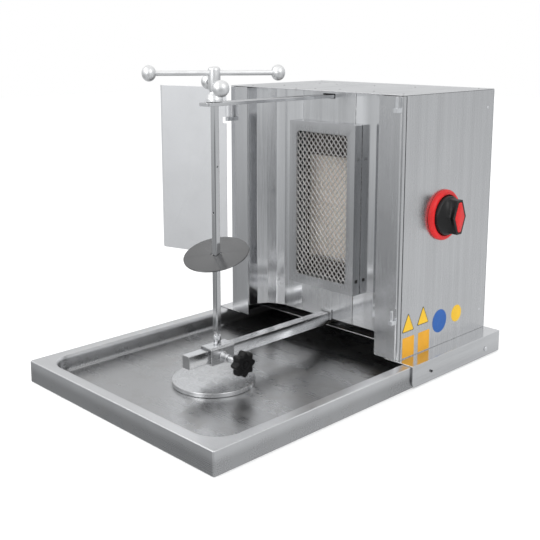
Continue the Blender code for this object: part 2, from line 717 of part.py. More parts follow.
def top_arm_guide():
    """The channel under the roof that the top arm slides in."""
    half = TOP_ARM_WIDTH / 2 + 0.0004
    low, high = TOP_ARM_BOTTOM - 0.0004, TOP_ARM_BOTTOM + TOP_ARM_THICKNESS + 0.0004
    guide = box("top_arm_guide", (-half - 0.003, 0.128, low - 0.003), (half + 0.003, 0.152, PANEL_TOP - GAP),
                steel())
    return cut(guide, box("guide_passage", (-half, 0.126, low), (half, 0.154, high), steel()))


# Spit and handle

def spit():
    """A square bar with a round pin at its foot and two cross-holes."""
    half = SPIT_SIDE / 2
    pin = 0.0030
    foot = sleeve_top() + GAP + 0.0030 + GAP
    steps = 16
    sides = []
    for step in range(steps):
        angle = math.tau * (step + 0.5) / steps
        sides.append((math.cos(angle), math.sin(angle)))

    def square(scale, z):
        return [(half * scale * c / max(abs(c), abs(s)), SPIT_Y + half * scale * s / max(abs(c), abs(s)), z)
                for c, s in sides]

    def circle(radius, z):
        return [(radius * c, SPIT_Y + radius * s, z) for c, s in sides]

    loops = [circle(pin - 0.001, foot), circle(pin, foot + 0.001), circle(pin, foot + 0.0110),
             square(0.72, foot + 0.0135), square(1.0, foot + 0.0175), square(1.0, 0.4392)]
    bar = loft("spit", loops, steel())
    return cut(bar,
               rod("cross_hole_x", 0.0016, -0.012, 0.012, (0, SPIT_Y, 0.337), (1, 0, 0), steel(), 10, 0),
               rod("cross_hole_y", 0.0016, -0.012, 0.012, (0, SPIT_Y, 0.269), (0, 1, 0), steel(), 10, 0))


def handle_direction(turn):
    return (math.cos(turn), math.sin(turn), 0)


def handle_hub():
    low = TOP_ARM_BOTTOM + TOP_ARM_THICKNESS + 0.0007
    profile = [(0, low), (0.0125, low), (0.0125, low + 0.0040), (0.0110, low + 0.0085),
               (0.0085, low + 0.0115), (0.0072, 0.4450), (0.0072, 0.4470), (0.0089, 0.4490),
               (0.0089, 0.4765), (0.0078, 0.4792), (0.0045, 0.4808), (0, 0.4812)]
    hub = turned("handle_hub", profile, (0, SPIT_Y, 0), (0, 0, 1), cast(), 28)
    half = SPIT_SIDE / 2 + GAP
    socket = box("hub_socket", (-half, SPIT_Y - half, low - 0.002), (half, SPIT_Y + half, 0.4395), cast())
    upper = rod("upper_cross_hole", 0.0041, -0.012, 0.012, (0, SPIT_Y, UPPER_ROD_Z),
                handle_direction(HANDLE_TURN), cast(), 16, 0)
    lower = rod("lower_cross_hole", 0.0041, -0.012, 0.012, (0, SPIT_Y, LOWER_ROD_Z),
                handle_direction(HANDLE_TURN - math.pi / 2), cast(), 16, 0)
    return cut(hub, socket, upper, lower)


def handle_rod(name, z, turn):
    reach = HANDLE_REACH - 0.002
    return rod(name, 0.0038, -reach, reach, (0, SPIT_Y, z), handle_direction(turn), cast(), 16)


def handle_ball(name, z, turn):
    """A slightly flattened ball with a blind hole for the rod."""
    across, along, steps = 0.0115, 0.0102, 10
    profile = [(0, HANDLE_REACH - 0.0017), (0.0041, HANDLE_REACH - 0.0017)]
    for step in range(steps + 1):
        angle = math.pi - math.asin(0.0041 / across) * (1 - step / steps) - math.pi * step / steps
        radius = across * math.sin(max(angle, 0))
        height = HANDLE_REACH + along * math.cos(angle)
        profile.append((radius if step < steps else 0, height))
    return turned(name, profile, (0, SPIT_Y, z), handle_direction(turn), cast(), 18)


def spit_disc_hole(name, low, high):
    half = SPIT_SIDE / 2 + 0.0013
    return box(name, (-half, SPIT_Y - half, low), (half, SPIT_Y + half, high), steel())


def upper_disc():
    """A thin plate that hangs tilted on the spit."""
    lean = Vector((0.10, -0.32, 1.0)).normalized()
    profile = [(0, -0.0010), (UPPER_DISC_RADIUS, -0.0010), (UPPER_DISC_RADIUS, 0.0010), (0, 0.0010)]
    disc = turned("upper_disc", profile, (0, SPIT_Y, UPPER_DISC_Z), lean, steel(), 48)
    return cut(disc, spit_disc_hole("upper_disc_hole", UPPER_DISC_Z - 0.01, UPPER_DISC_Z + 0.01))


def lower_disc():
    """A plain plate with an upright edge that lies in the tray under the spit."""
    low = TRAY_FLOOR + GAP
    profile = [(0, low), (LOWER_DISC_RADIUS - 0.0003, low), (LOWER_DISC_RADIUS, low + 0.0003),
               (LOWER_DISC_RADIUS, low + 0.0062), (LOWER_DISC_RADIUS - 0.0008, low + 0.0070),
               (0, low + 0.0070)]
    return turned("lower_disc", profile, (0, LOWER_DISC_Y, 0), (0, 0, 1), steel(), 48)


# Side shield

def hinge_peg(side, level):
    """A block on the front flange with an upright pin; the right pair is free for a second shield."""
    x = WING_AXIS[0] if side == "left" else -WING_AXIS[0]
    y = WING_AXIS[1]
    z = PEG_LEVELS[side, level]
    name = f"hinge_peg_{side}_{level}"
    low, high = (x - PEG_HALF, y - PEG_HALF, z), (x + PEG_HALF, HOUSING_FRONT - GAP, z + PEG_BLOCK)
    block = box(name, low, high, steel())
    pin = rod(name + "_pin", PIN_RADIUS, z + PEG_BLOCK / 2, z + PEG_HEIGHT, (x, y, 0), (0, 0, 1), steel(), 14)
    return join(block, pin)


def wing_left():
    """A flat shield with a bent free edge and two knuckles that drop over the pegs."""
    axis = Vector(WING_AXIS)
    along = Vector((math.cos(WING_ANGLE), math.sin(WING_ANGLE)))
    back = Vector((along.y, -along.x))
    lip = (along * math.cos(math.radians(40)) + back * math.sin(math.radians(40))) * 0.010
    bend = axis + along * (WING_LENGTH - 0.010)
    path = [tuple(axis + along * 0.0036), tuple(bend), tuple(bend + lip)]
    outline = ribbon(path, SHEET)
    wing = prism("wing_left", outline, "Z", WING_BOTTOM, WING_TOP, steel())
    centre = (*WING_AXIS, 0)
    bore = PIN_RADIUS + GAP
    additions, cutters = [], []
    for level in ("lower", "upper"):
        low = PEG_LEVELS["left", level] + PEG_BLOCK + GAP
        high = low + 0.0220
        additions.append(ring(f"wing_knuckle_{level}", KNUCKLE_RADIUS, bore, low, high, centre, (0, 0, 1),
                              steel(), 20))
        cutters.append(rod(f"wing_bore_{level}", bore, low - 0.002, high + 0.002, centre, (0, 0, 1),
                           steel(), 20, 0))
    upper = PEG_LEVELS["left", "upper"]
    clearance = rod("wing_clearance", 0.0115, upper - 0.004, upper + PEG_BLOCK, centre, (0, 0, 1),
                    steel(), 24, 0)
    return cut(join(cut(wing, clearance), *additions), *cutters)


def main():
    clear_scene()
    drip_tray()
    tray_stiffener()
    for side, word in ((-1, "left"), (1, "right")):
        side_rail(side, f"side_rail_{word}")
        rail_screw(side, f"rail_screw_{word}")
        for level in ("lower", "upper"):
            hinge_peg(word, level)
    side_panel_left()
    side_panel_right()
    roof_cover()
    rear_cover()
    housing_floor()
    chamber_wall_left()
    chamber_wall_right()
    chamber_centre_panel()
    arm_collar()
    burner_cover_frame()
    burner_mesh()
    burner_box()
    ceramic_tile(0, "ceramic_tile_lower")
    ceramic_tile(1, "ceramic_tile_upper")
    burner_plenum()
    mixer_tube()
    gas_injector()
    burner_pipe()
    inlet_pipe()
    inlet_nipple()
    thermocouple()
    gas_valve()
    knob_bezel()
    lower_arm()
    arm_seat()
    top_arm_guide()

    carriage = hang("carriage", (0, SPIT_Y, CLAMP_Z), [clamp_sleeve(), spit_bearing(), clamp_nut()])
    feed = hang("clamp_feed", (0, SPIT_Y, CLAMP_Z), [clamp_pad()], carriage)
    hang("clamp_turn", (0, SPIT_Y, CLAMP_Z), [clamp_stem(), star_knob()], feed)
    turning = [spit(), handle_hub(), handle_rod("handle_rod_upper", UPPER_ROD_Z, HANDLE_TURN),
               handle_rod("handle_rod_lower", LOWER_ROD_Z, HANDLE_TURN - math.pi / 2)]
    for word, z, turn in (("right", UPPER_ROD_Z, 0), ("left", UPPER_ROD_Z, math.pi),
                          ("front", LOWER_ROD_Z, -math.pi / 2), ("rear", LOWER_ROD_Z, math.pi / 2)):
        turning.append(handle_ball(f"handle_ball_{word}", z, HANDLE_TURN + turn))
    spin = hang("spit_spin", (0, SPIT_Y, sleeve_top()), turning, carriage)
    hang("disc_slide", (0, SPIT_Y, UPPER_DISC_Z), [upper_disc()], spin)
    hang("disc_lift", (0, LOWER_DISC_Y, TRAY_FLOOR), [lower_disc()])
    hang("top_arm_slide", (0, SPIT_Y, TOP_ARM_BOTTOM), [top_arm()])
    hang("wing_hinge", (*WING_AXIS, WING_BOTTOM), [wing_left()])
    push = hang("valve_push", (HOUSING_HALF, KNOB_Y, KNOB_Z), [valve_plunger()])
    hang("valve_turn", (HOUSING_HALF, KNOB_Y, KNOB_Z), [valve_spindle(), gas_knob(), knob_pointer()], push)


main()
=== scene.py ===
"""Hand-turned countertop gas grill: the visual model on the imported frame.

Metres, +Z up. The spit stands towards -Y, and the burner and its housing are towards +Y.
"""
import math

import bmesh
import bpy
from bpy.props import FloatProperty, FloatVectorProperty, PointerProperty
from mathutils import Matrix, Vector


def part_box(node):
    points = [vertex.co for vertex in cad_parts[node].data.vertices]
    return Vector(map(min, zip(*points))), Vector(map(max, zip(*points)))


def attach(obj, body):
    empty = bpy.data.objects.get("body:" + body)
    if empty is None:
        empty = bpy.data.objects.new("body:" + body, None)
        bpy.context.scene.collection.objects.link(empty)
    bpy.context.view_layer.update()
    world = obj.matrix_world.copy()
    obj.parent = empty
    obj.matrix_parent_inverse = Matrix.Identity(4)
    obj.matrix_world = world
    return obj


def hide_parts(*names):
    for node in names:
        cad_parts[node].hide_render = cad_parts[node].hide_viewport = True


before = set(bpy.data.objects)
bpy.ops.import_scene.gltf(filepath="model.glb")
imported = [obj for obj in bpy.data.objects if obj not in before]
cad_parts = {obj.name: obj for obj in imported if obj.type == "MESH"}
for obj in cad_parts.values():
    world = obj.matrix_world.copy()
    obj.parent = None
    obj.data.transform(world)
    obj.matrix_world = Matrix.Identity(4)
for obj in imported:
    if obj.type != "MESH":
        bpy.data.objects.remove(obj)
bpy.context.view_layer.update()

bl_info = {
    "name": "Upright gas grill",
    "version": (1, 0, 0),
    "blender": (4, 5, 0),
    "location": "View3D > Sidebar > Grill",
    "description": "Builds the finished pieces of a countertop gas grill on its packed frame",
    "category": "Object",
}

# Places and sizes taken from the frame
TRAY_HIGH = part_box("drip_tray")[1]
PANEL_LOW, PANEL_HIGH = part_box("side_panel_right")
ROOF_LOW, ROOF_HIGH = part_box("roof_cover")
WALL_LOW, WALL_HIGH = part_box("chamber_wall_right")
FRAME_LOW, FRAME_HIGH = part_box("burner_cover_frame")
SCREEN_LOW, SCREEN_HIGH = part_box("burner_mesh")
TILE_LOW, TILE_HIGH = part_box("ceramic_tile_lower")
UPPER_TILE_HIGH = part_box("ceramic_tile_upper")[1]
REAR_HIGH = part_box("rear_cover")[1]
BEZEL_LOW, BEZEL_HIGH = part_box("knob_bezel")
KNOB_LOW, KNOB_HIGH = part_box("gas_knob")
POINTER_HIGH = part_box("knob_pointer")[1]
SLEEVE_LOW, SLEEVE_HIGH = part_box("clamp_sleeve")
NUT_LOW, NUT_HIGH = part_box("clamp_nut")
STEM_LOW, STEM_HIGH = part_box("clamp_stem")
STAR_LOW, STAR_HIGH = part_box("star_knob")
BEARING_LOW, BEARING_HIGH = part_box("spit_bearing")
SPIT_LOW, SPIT_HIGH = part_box("spit")
HUB_LOW, HUB_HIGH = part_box("handle_hub")
LOWER_DISC_LOW, LOWER_DISC_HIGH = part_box("lower_disc")
ARM_LOW, ARM_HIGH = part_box("lower_arm")

SHEET = 0.0012                                  # thickness of the folded steel sheet
HALF = PANEL_HIGH.x                             # half the width of the housing
FRONT, BACK = PANEL_LOW.y, PANEL_HIGH.y
KNOB_Y = (KNOB_LOW.y + KNOB_HIGH.y) / 2
KNOB_Z = (KNOB_LOW.z + KNOB_HIGH.z) / 2
SPIT_Y = (SPIT_LOW.y + SPIT_HIGH.y) / 2
CLAMP_Z = (STEM_LOW.z + STEM_HIGH.z) / 2
DISC_LEAN = Vector((0.10, -0.32, 1.0)).normalized()
UP = Vector((0, 0, 1))

# Sizes that the frame's boxes don't give
CLEARANCE = 0.0003                              # between sheets that touch
FLANGE_WIDTH = 0.045                            # front flange of each side panel
CHAMBER_WALL = 0.124                            # front face of the wall behind the spit
SEAM_X = 0.0573                                 # where the curved wall meets the centre panel
FIRST_BEND_X = 0.083
POCKET_INSET = 0.0455                           # from the housing's side to the wall's start
WALL_BENDS = (84, 65, 45, 22, 0)                # degrees round the pocket
TRAY_RIM, TRAY_CORNER, TRAY_FLOOR, TRAY_HEM = 0.0165, 0.043, 0.008, 0.010
UPPER_DISC_RADIUS, UPPER_DISC_HALF = 0.0495, 0.0010
SCREW_HOLE = 0.0044
BALL_REACH, ROD_REACH, ROD_RADIUS = 0.0925, 0.0902, 0.0038
PORT_PITCH, TILE_MARGIN = 0.0026, 0.005
CLIP_LEVELS = (0.131, 0.331)                    # two square clips on the frame's right side
FLAT = 0.9999                                   # a face whose normal is this near to the axis is flat

# The stage
CAMERA_PLACE, CAMERA_TILT, CAMERA_TURN = (0.9698, -0.9663, 0.5242), 0.188, 0.793
CAMERA_SENSOR, CAMERA_LENS, CAMERA_SHIFT = 36.0, 59.31, -0.1204
FLOOR_HALF, FLOOR_LEVEL = 6.0, -0.0005
LIGHTS = (("key_light", (-0.9, -1.7, 1.9), (0, 0, 0.15), 1.6, 1.2, 15.0),
          ("side_light", (1.9, -0.2, 1.5), (0, 0.1, 0.2), 1.2, 1.2, 8.0),
          ("fill_light", (0.25, -2.2, 0.9), (0, 0.1, 0.2), 1.0, 0.8, 7.0))


# Shader and geometry recipes

class Maths:
    """A number or a vector on a socket, which Python's operators work on."""

    def __init__(self, recipe, socket):
        self.recipe, self.socket = recipe, socket

    def work(self, operation, first, second=None):
        inputs = {0: first} if second is None else {0: first, 1: second}
        node = self.recipe.node("ShaderNodeMath", {"operation": operation}, inputs)
        return Maths(self.recipe, node.outputs[0])

    def __add__(self, other):
        return self.work("ADD", self, other)

    def __radd__(self, other):
        return self.work("ADD", other, self)

    def __sub__(self, other):
        return self.work("SUBTRACT", self, other)

    def __rsub__(self, other):
        return self.work("SUBTRACT", other, self)

    def __mul__(self, other):
        return self.work("MULTIPLY", self, other)

    def __rmul__(self, other):
        return self.work("MULTIPLY", other, self)

    def __truediv__(self, other):
        return self.work("DIVIDE", self, other)

    def __rtruediv__(self, other):
        return self.work("DIVIDE", other, self)

    def __pow__(self, other):
        return self.work("POWER", self, other)

    def __rpow__(self, other):
        return self.work("POWER", other, self)

    def __neg__(self):
        return self.work("MULTIPLY", self, -1.0)

    def __abs__(self):
        return self.work("ABSOLUTE", self)

    def most(self, other):
        return self.work("MAXIMUM", self, other)

    def cosine(self):
        return self.work("COSINE", self)

    def above(self, other):
        return self.work("GREATER_THAN", self, other)

    def spread(self, low, high, smooth=True):
        """0 at low, 1 at high, clamped."""
        kind = "SMOOTHSTEP" if smooth else "LINEAR"
        node = self.recipe.node("ShaderNodeMapRange", {"interpolation_type": kind},
                                {"Value": self, "From Min": low, "From Max": high})
        return Maths(self.recipe, node.outputs["Result"])


class Recipe:
    """The nodes of one finish, one light or one geometry tree."""

    def __init__(self, tree):
        self.tree = tree

    def node(self, kind, settings=None, inputs=None):
        node = self.tree.nodes.new(kind)
        for name, value in (settings or {}).items():
            if name == "stops":
                self.set_stops(node.color_ramp, value)
            else:
                setattr(node, name, value)
        for name, value in (inputs or {}).items():
            self.feed(node.inputs[name], value)
        return node

    def feed(self, socket, value):
        if isinstance(value, Maths):
            value = value.socket
        if isinstance(value, bpy.types.NodeSocket):
            self.tree.links.new(value, socket)
        else:
            socket.default_value = value

    @staticmethod
    def set_stops(ramp, stops):
        while len(ramp.elements) < len(stops):
            ramp.elements.new(1.0)
        for element, (position, colour) in zip(ramp.elements, stops):
            element.position = position
            element.color = (*colour, 1.0)

    def parts(self, vector):
        """The three numbers of a vector."""
        node = self.node("ShaderNodeSeparateXYZ", None, {0: vector})
        return [Maths(self, socket) for socket in node.outputs]

    def join(self, x, y, z):
        return Maths(self, self.node("ShaderNodeCombineXYZ", None, {0: x, 1: y, 2: z}).outputs[0])

    def scaled(self, vector, factors):
        node = self.node("ShaderNodeVectorMath", {"operation": "MULTIPLY"}, {0: vector, 1: factors})
        return Maths(self, node.outputs[0])


class Finish(Recipe):
    """A material whose pattern reads object coordinates."""

    def __init__(self, name):
        self.material = bpy.data.materials.new(name)
        self.material.use_nodes = True
        super().__init__(self.material.node_tree)
        self.shader = self.tree.nodes["Principled BSDF"]
        self.place = Maths(self, self.node("ShaderNodeTexCoord").outputs["Object"])

    def noise(self, factors, detail=3.0, roughness=0.55, low=0.32, high=0.68):
        """Noise stretched by the three factors, spread to fill 0 to 1."""
        node = self.node("ShaderNodeTexNoise", {"noise_dimensions": "3D"},
                         {"Vector": self.scaled(self.place, factors), "Scale": 1.0, "Detail": detail,
                          "Roughness": roughness})
        return Maths(self, node.outputs[0]).spread(low, high, smooth=False)

    def cells(self, scale, randomness=1.0):
        """Distance to the nearest cell point."""
        node = self.node("ShaderNodeTexVoronoi", {"feature": "F1"},
                         {"Vector": self.place, "Scale": scale, "Randomness": randomness})
        return Maths(self, node.outputs["Distance"])

    def edges(self, low=0.52, high=0.60):
        """1 on convex edges, where handling has polished the surface; the metal finishes also lighten them as
        a painted highlight.
        """
        return Maths(self, self.node("ShaderNodeNewGeometry").outputs["Pointiness"]).spread(low, high)

    def mix(self, factor, first, second):
        node = self.node("ShaderNodeMix", {"data_type": "RGBA", "clamp_factor": True},
                         {0: factor, 6: self.colour(first), 7: self.colour(second)})
        return Maths(self, node.outputs[2])

    @staticmethod
    def colour(value):
        return (*value, 1.0) if isinstance(value, (tuple, list)) and len(value) == 3 else value

    def done(self, colour, roughness, metallic, height=None, strength=0.3, depth=0.0002, **sockets):
        """Feed the shader: colour and roughness vary, other numbers are uniform."""
        self.feed(self.shader.inputs["Base Color"], colour)
        self.feed(self.shader.inputs["Roughness"], roughness)
        self.shader.inputs["Metallic"].default_value = metallic
        for name, value in sockets.items():
            self.shader.inputs[SOCKET_NAMES[name]].default_value = value
        if height is not None:
            bump = self.node("ShaderNodeBump", None,
                             {"Strength": strength, "Distance": depth, "Height": height})
            self.feed(self.shader.inputs["Normal"], bump.outputs["Normal"])
        return self.material


SOCKET_NAMES = {"emission_strength": "Emission Strength", "specular_ior_level": "Specular IOR Level"}


def tinted(colour, factor):
    """A colour made lighter or darker."""
    return tuple(min(channel * factor, 1.0) for channel in colour)


# How far the brush marks, and the broad bands of painted reflection, are drawn out along each direction
FINE_GRAIN = {"X": (16, 1500, 1500), "Y": (1500, 16, 1500), "Z": (1500, 1500, 16)}
PAINTED_REFLECTION_BANDS = {"X": (1.5, 90, 90), "Y": (90, 1.5, 90), "Z": (90, 90, 1.5)}
FINISHES = {}


def made_once(build):
    """Keep each finish, so that pieces share it."""
    def wrapped(*values):
        key = (build.__name__, *values)
        if key not in FINISHES:
            FINISHES[key] = build(*values)
        return FINISHES[key]
    return wrapped


def colours():
    return bpy.context.scene.grill_finishes


def sizes():
    return bpy.context.scene.grill_sizes


@made_once
def sheet_steel(grain="Z", shine=0.27, tone=1.0):
    """Brushed stainless sheet with finger marks, broad bands of painted reflection, and polished edges with a
    painted highlight.
    """
    finish = Finish(f"brushed_sheet_{grain}_{shine:.2f}_{tone:.2f}")
    # tone gives lighter and darker copies of the one steel, part by part, set to how brightly each part is
    # lit: painted light and shade
    steel = tinted(tuple(colours().steel), tone)
    fine = finish.noise(FINE_GRAIN[grain], 4.0, 0.6)
    # soft: broad bands along the grain, lighter and darker, that paint in the studio's reflections
    soft = finish.noise(PAINTED_REFLECTION_BANDS[grain], 2.0, 0.5)
    marks = finish.noise((13, 13, 9), 5.0, 0.62, 0.40, 0.72)
    edge = finish.edges()
    colour = finish.mix(0.45 * fine + 0.55 * soft, tinted(steel, 0.84), tinted(steel, 1.08))
    colour = finish.mix(0.30 * marks, colour, tinted(steel, 0.80))
    # Convex edges lighter: partly polish, partly a painted highlight
    colour = finish.mix(0.75 * edge, colour, tinted(steel, 1.22))
    roughness = shine + 0.10 * (fine - 0.5) + 0.11 * (marks - 0.4) - 0.08 * edge
    return finish.done(colour, roughness, 1.0, 0.7 * fine + 0.3 * soft, 0.16, 0.00008)


@made_once
def tray_steel():
    """Polished tray sheet: faint wiping marks and grease stains, and the recess floor darkened, most towards
    the housing, as painted shade.
    """
    finish = Finish("polished_tray")
    steel = tuple(colours().steel)
    x, y, z = finish.parts(finish.place)
    fine = finish.noise(FINE_GRAIN["X"], 4.0, 0.6)
    wiped = finish.noise((7, 26, 7), 4.0, 0.6, 0.36, 0.70)
    grease = finish.noise((22, 22, 22), 6.0, 0.65, 0.52, 0.74)
    edge = finish.edges()
    floor = 1.0 - z.spread(TRAY_HIGH.z - 0.020, TRAY_HIGH.z - 0.004)
    shade_near_housing = y.spread(-0.06, FRONT + 0.03) * floor
    colour = finish.mix(0.5 * fine + 0.5 * wiped, tinted(steel, 0.88), tinted(steel, 1.06))
    # Painted shade: the recess floor is darkened, and more so towards the housing
    colour = finish.mix(0.62 * floor + 0.30 * shade_near_housing, colour, tinted(steel, 0.42))
    colour = finish.mix(0.25 * grease * floor, colour, (0.30, 0.27, 0.23))
    # Convex edges lighter: partly polish, partly a painted highlight
    colour = finish.mix(0.6 * edge, colour, tinted(steel, 1.20))
    roughness = 0.21 + 0.07 * fine + 0.10 * wiped + 0.14 * grease * floor + 0.06 * (1.0 - floor)
    return finish.done(colour, roughness, 1.0, 0.6 * fine + 0.4 * wiped, 0.12, 0.00010)


@made_once
def scorched_steel():
    """Sheet darkened to near black: soot and scorch in patches, and a dark tone that is partly painted shade
    round the burner.
    """
    finish = Finish("scorched_steel")
    cloud = finish.noise((24, 24, 24), 5.0, 0.62)
    soot = finish.noise((60, 60, 60), 5.0, 0.65, 0.40, 0.72)
    fine = finish.noise(FINE_GRAIN["Z"], 3.0, 0.6)
    # The near-black colours are partly soot and partly painted shade round the burner
    colour = finish.mix(cloud, (0.10, 0.095, 0.095), (0.20, 0.18, 0.165))
    colour = finish.mix(0.6 * soot, colour, (0.035, 0.032, 0.032))
    return finish.done(colour, 0.42 + 0.14 * soot + 0.06 * fine, 1.0, 0.5 * fine + 0.5 * soot, 0.2, 0.0001)


@made_once
def satin_steel():
    """The shield's fine, almost matt sheet."""
    finish = Finish("satin_shield")
    steel = tinted(tuple(colours().steel), 1.28)
    fine = finish.noise(FINE_GRAIN["X"], 4.0, 0.6)
    cloud = finish.noise((5, 5, 6), 3.0, 0.5)
    marks = finish.noise((30, 30, 30), 5.0, 0.6, 0.50, 0.75)
    edge = finish.edges()
    colour = finish.mix(0.4 * fine + 0.6 * cloud, tinted(steel, 0.94), tinted(steel, 1.04))
    colour = finish.mix(0.18 * marks, colour, tinted(steel, 0.82))
    # Convex edges lighter: partly polish, partly a painted highlight
    colour = finish.mix(0.6 * edge, colour, tinted(steel, 1.15))
    roughness = 0.46 + 0.06 * fine + 0.06 * cloud - 0.12 * edge
    return finish.done(colour, roughness, 1.0, fine, 0.14, 0.00008)


@made_once
def disc_steel(shine, tone, middle):
    """Turned plate: fine rings round an upright axis at Y = middle."""
    finish = Finish(f"turned_disc_{shine:.2f}")
    # tone gives lighter and darker copies of the one turned steel: painted light and shade, 0.78 for the tray
    # plate and 0.18 for the hanging disc
    steel = tinted(tuple(colours().steel), tone)
    x, y, z = finish.parts(finish.place)
    radius = (x * x + (y - middle) * (y - middle)) ** 0.5
    rings = Maths(finish, finish.node("ShaderNodeTexNoise", {"noise_dimensions": "1D"},
                                      {"W": radius, "Scale": 1600.0, "Detail": 3.0}).outputs[0])
    rings = rings.spread(0.35, 0.65, smooth=False)
    marks = finish.noise((45, 45, 45), 5.0, 0.6, 0.45, 0.75)
    edge = finish.edges()
    colour = finish.mix(rings, tinted(steel, 0.90), tinted(steel, 1.06))
    colour = finish.mix(0.35 * marks, colour, tinted(steel, 0.72))
    # Convex edges much lighter: a painted highlight on the rim, with polish
    colour = finish.mix(0.8 * edge, colour, tinted(steel, 1.6))
    roughness = shine + 0.05 * rings + 0.10 * marks
    return finish.done(colour, roughness, 1.0, rings, 0.10, 0.00006)


@made_once
def cast_aluminium():
    """Tumbled casting: fine pits and a soft satin."""
    finish = Finish("cast_aluminium")
    metal = tuple(colours().casting)
    pits = 1.0 - finish.cells(1500.0).spread(0.10, 0.45)
    cloud = finish.noise((70, 70, 70), 4.0, 0.6)
    grains = finish.noise((900, 900, 900), 3.0, 0.6)
    edge = finish.edges()
    colour = finish.mix(cloud, tinted(metal, 0.90), tinted(metal, 1.06))
    colour = finish.mix(0.25 * pits, colour, tinted(metal, 0.60))
    # Convex edges lighter: partly polish, partly a painted highlight
    colour = finish.mix(0.5 * edge, colour, tinted(metal, 1.15))
    roughness = 0.34 + 0.08 * cloud + 0.06 * grains
    return finish.done(colour, roughness, 1.0, 0.5 * grains - 0.5 * pits, 0.30, 0.00012)


@made_once
def bright_chrome():
    """Plated steel with light wear."""
    finish = Finish("bright_chrome")
    metal = (0.80, 0.81, 0.83)
    cloud = finish.noise((120, 120, 120), 4.0, 0.6)
    marks = finish.noise((400, 400, 60), 4.0, 0.6, 0.50, 0.70)
    colour = finish.mix(cloud, tinted(metal, 0.92), tinted(metal, 1.04))
    colour = finish.mix(0.25 * marks, colour, tinted(metal, 0.70))
    return finish.done(colour, 0.10 + 0.08 * cloud + 0.06 * marks, 1.0, marks, 0.10, 0.00005)


@made_once
def old_brass():
    """Fittings with a dull tarnish in the hollows."""
    finish = Finish("old_brass")
    cloud = finish.noise((90, 90, 90), 5.0, 0.6)
    spots = finish.noise((420, 420, 420), 3.0, 0.6, 0.50, 0.74)
    colour = finish.mix(cloud, (0.60, 0.43, 0.18), (0.80, 0.62, 0.30))
    colour = finish.mix(0.4 * spots, colour, (0.30, 0.20, 0.10))
    return finish.done(colour, 0.26 + 0.12 * cloud + 0.12 * spots, 1.0, spots, 0.2, 0.0001)


@made_once
def moulded(name, gloss, shine=0.38):
    """Moulded plastic with a fine spark texture, rubbed on its edges."""
    finish = Finish(f"moulded_{name}_{gloss:.2f}_{shine:.2f}")
    tone = tuple(getattr(colours(), name))
    grain = finish.noise((1800, 1800, 1800), 2.0, 0.6)
    cloud = finish.noise((60, 60, 60), 4.0, 0.6)
    dust = finish.noise((500, 500, 500), 4.0, 0.6, 0.60, 0.75)
    edge = finish.edges()
    colour = finish.mix(cloud, tinted(tone, 0.86), tinted(tone, 1.12))
    colour = finish.mix(0.02 * dust, colour, (0.5, 0.5, 0.5))
    colour = finish.mix(0.05 * edge, colour, (0.6, 0.55, 0.52))
    roughness = gloss + 0.10 * cloud + 0.06 * grain - 0.08 * edge
    return finish.done(colour, roughness, 0.0, grain, 0.22, 0.00008, specular_ior_level=shine)


@made_once
def fired_ceramic():
    """Porous burner tile, lightly scorched in patches."""
    finish = Finish("fired_ceramic")
    tone = tuple(colours().ceramic)
    cloud = finish.noise((38, 38, 38), 4.0, 0.6)
    grains = finish.noise((1300, 1300, 1300), 3.0, 0.65)
    x, y, z = finish.parts(finish.place)
    scorch = abs(x).spread(0.040, 0.066) * 0.6 + finish.noise((16, 16, 16), 5.0, 0.6, 0.52, 0.75) * 0.4
    colour = finish.mix(0.6 * cloud + 0.4 * grains, tinted(tone, 0.96), tinted(tone, 1.10))
    colour = finish.mix(0.22 * scorch, colour, (0.46, 0.33, 0.26))
    return finish.done(colour, 0.82 + 0.14 * grains, 0.0, grains, 0.5, 0.0002)


@made_once
def painted_port_shade():
    """Painted shade of a flame port's hollow, on a flat disc."""
    finish = Finish("flame_port")
    cloud = finish.noise((200, 200, 200), 3.0, 0.6)
    return finish.done(finish.mix(cloud, (0.30, 0.20, 0.15), (0.46, 0.33, 0.26)), 0.85 + 0.1 * cloud, 0.0)


@made_once
def label_film(name):
    """A plain coloured film, slightly scuffed."""
    finish = Finish(f"film_{name}")
    tone = tuple(getattr(colours(), name))
    cloud = finish.noise((50, 50, 50), 4.0, 0.6)
    scuff = finish.noise((900, 900, 60), 4.0, 0.6, 0.60, 0.80)
    colour = finish.mix(cloud, tinted(tone, 0.93), tinted(tone, 1.05))
    colour = finish.mix(0.14 * scuff, colour, (0.8, 0.8, 0.8))
    return finish.done(colour, 0.30 + 0.15 * scuff + 0.06 * cloud, 0.0, scuff, 0.1, 0.00005)


@made_once
def screen_wire():
    """Heat-dulled wire."""
    finish = Finish("screen_wire")
    cloud = finish.noise((60, 60, 60), 4.0, 0.6)
    grains = finish.noise((1500, 1500, 1500), 2.0, 0.6)
    colour = finish.mix(cloud, (0.50, 0.49, 0.48), (0.66, 0.65, 0.64))
    return finish.done(colour, 0.30 + 0.12 * cloud + 0.06 * grains, 1.0, grains, 0.2, 0.00006)


# Mesh making

def new_object(name, bm, finish, smooth_angle=38.0, orient=True):
    """Turn a bmesh into an object at the origin."""
    if orient:
        bmesh.ops.recalc_face_normals(bm, faces=bm.faces)
    mesh = bpy.data.meshes.new(name)
    bm.to_mesh(mesh)
    bm.free()
    mesh.materials.append(finish)
    mesh.shade_smooth()
    mesh.set_sharp_from_angle(angle=math.radians(smooth_angle))
    obj = bpy.data.objects.new(name, mesh)
    bpy.context.scene.collection.objects.link(obj)
    return obj


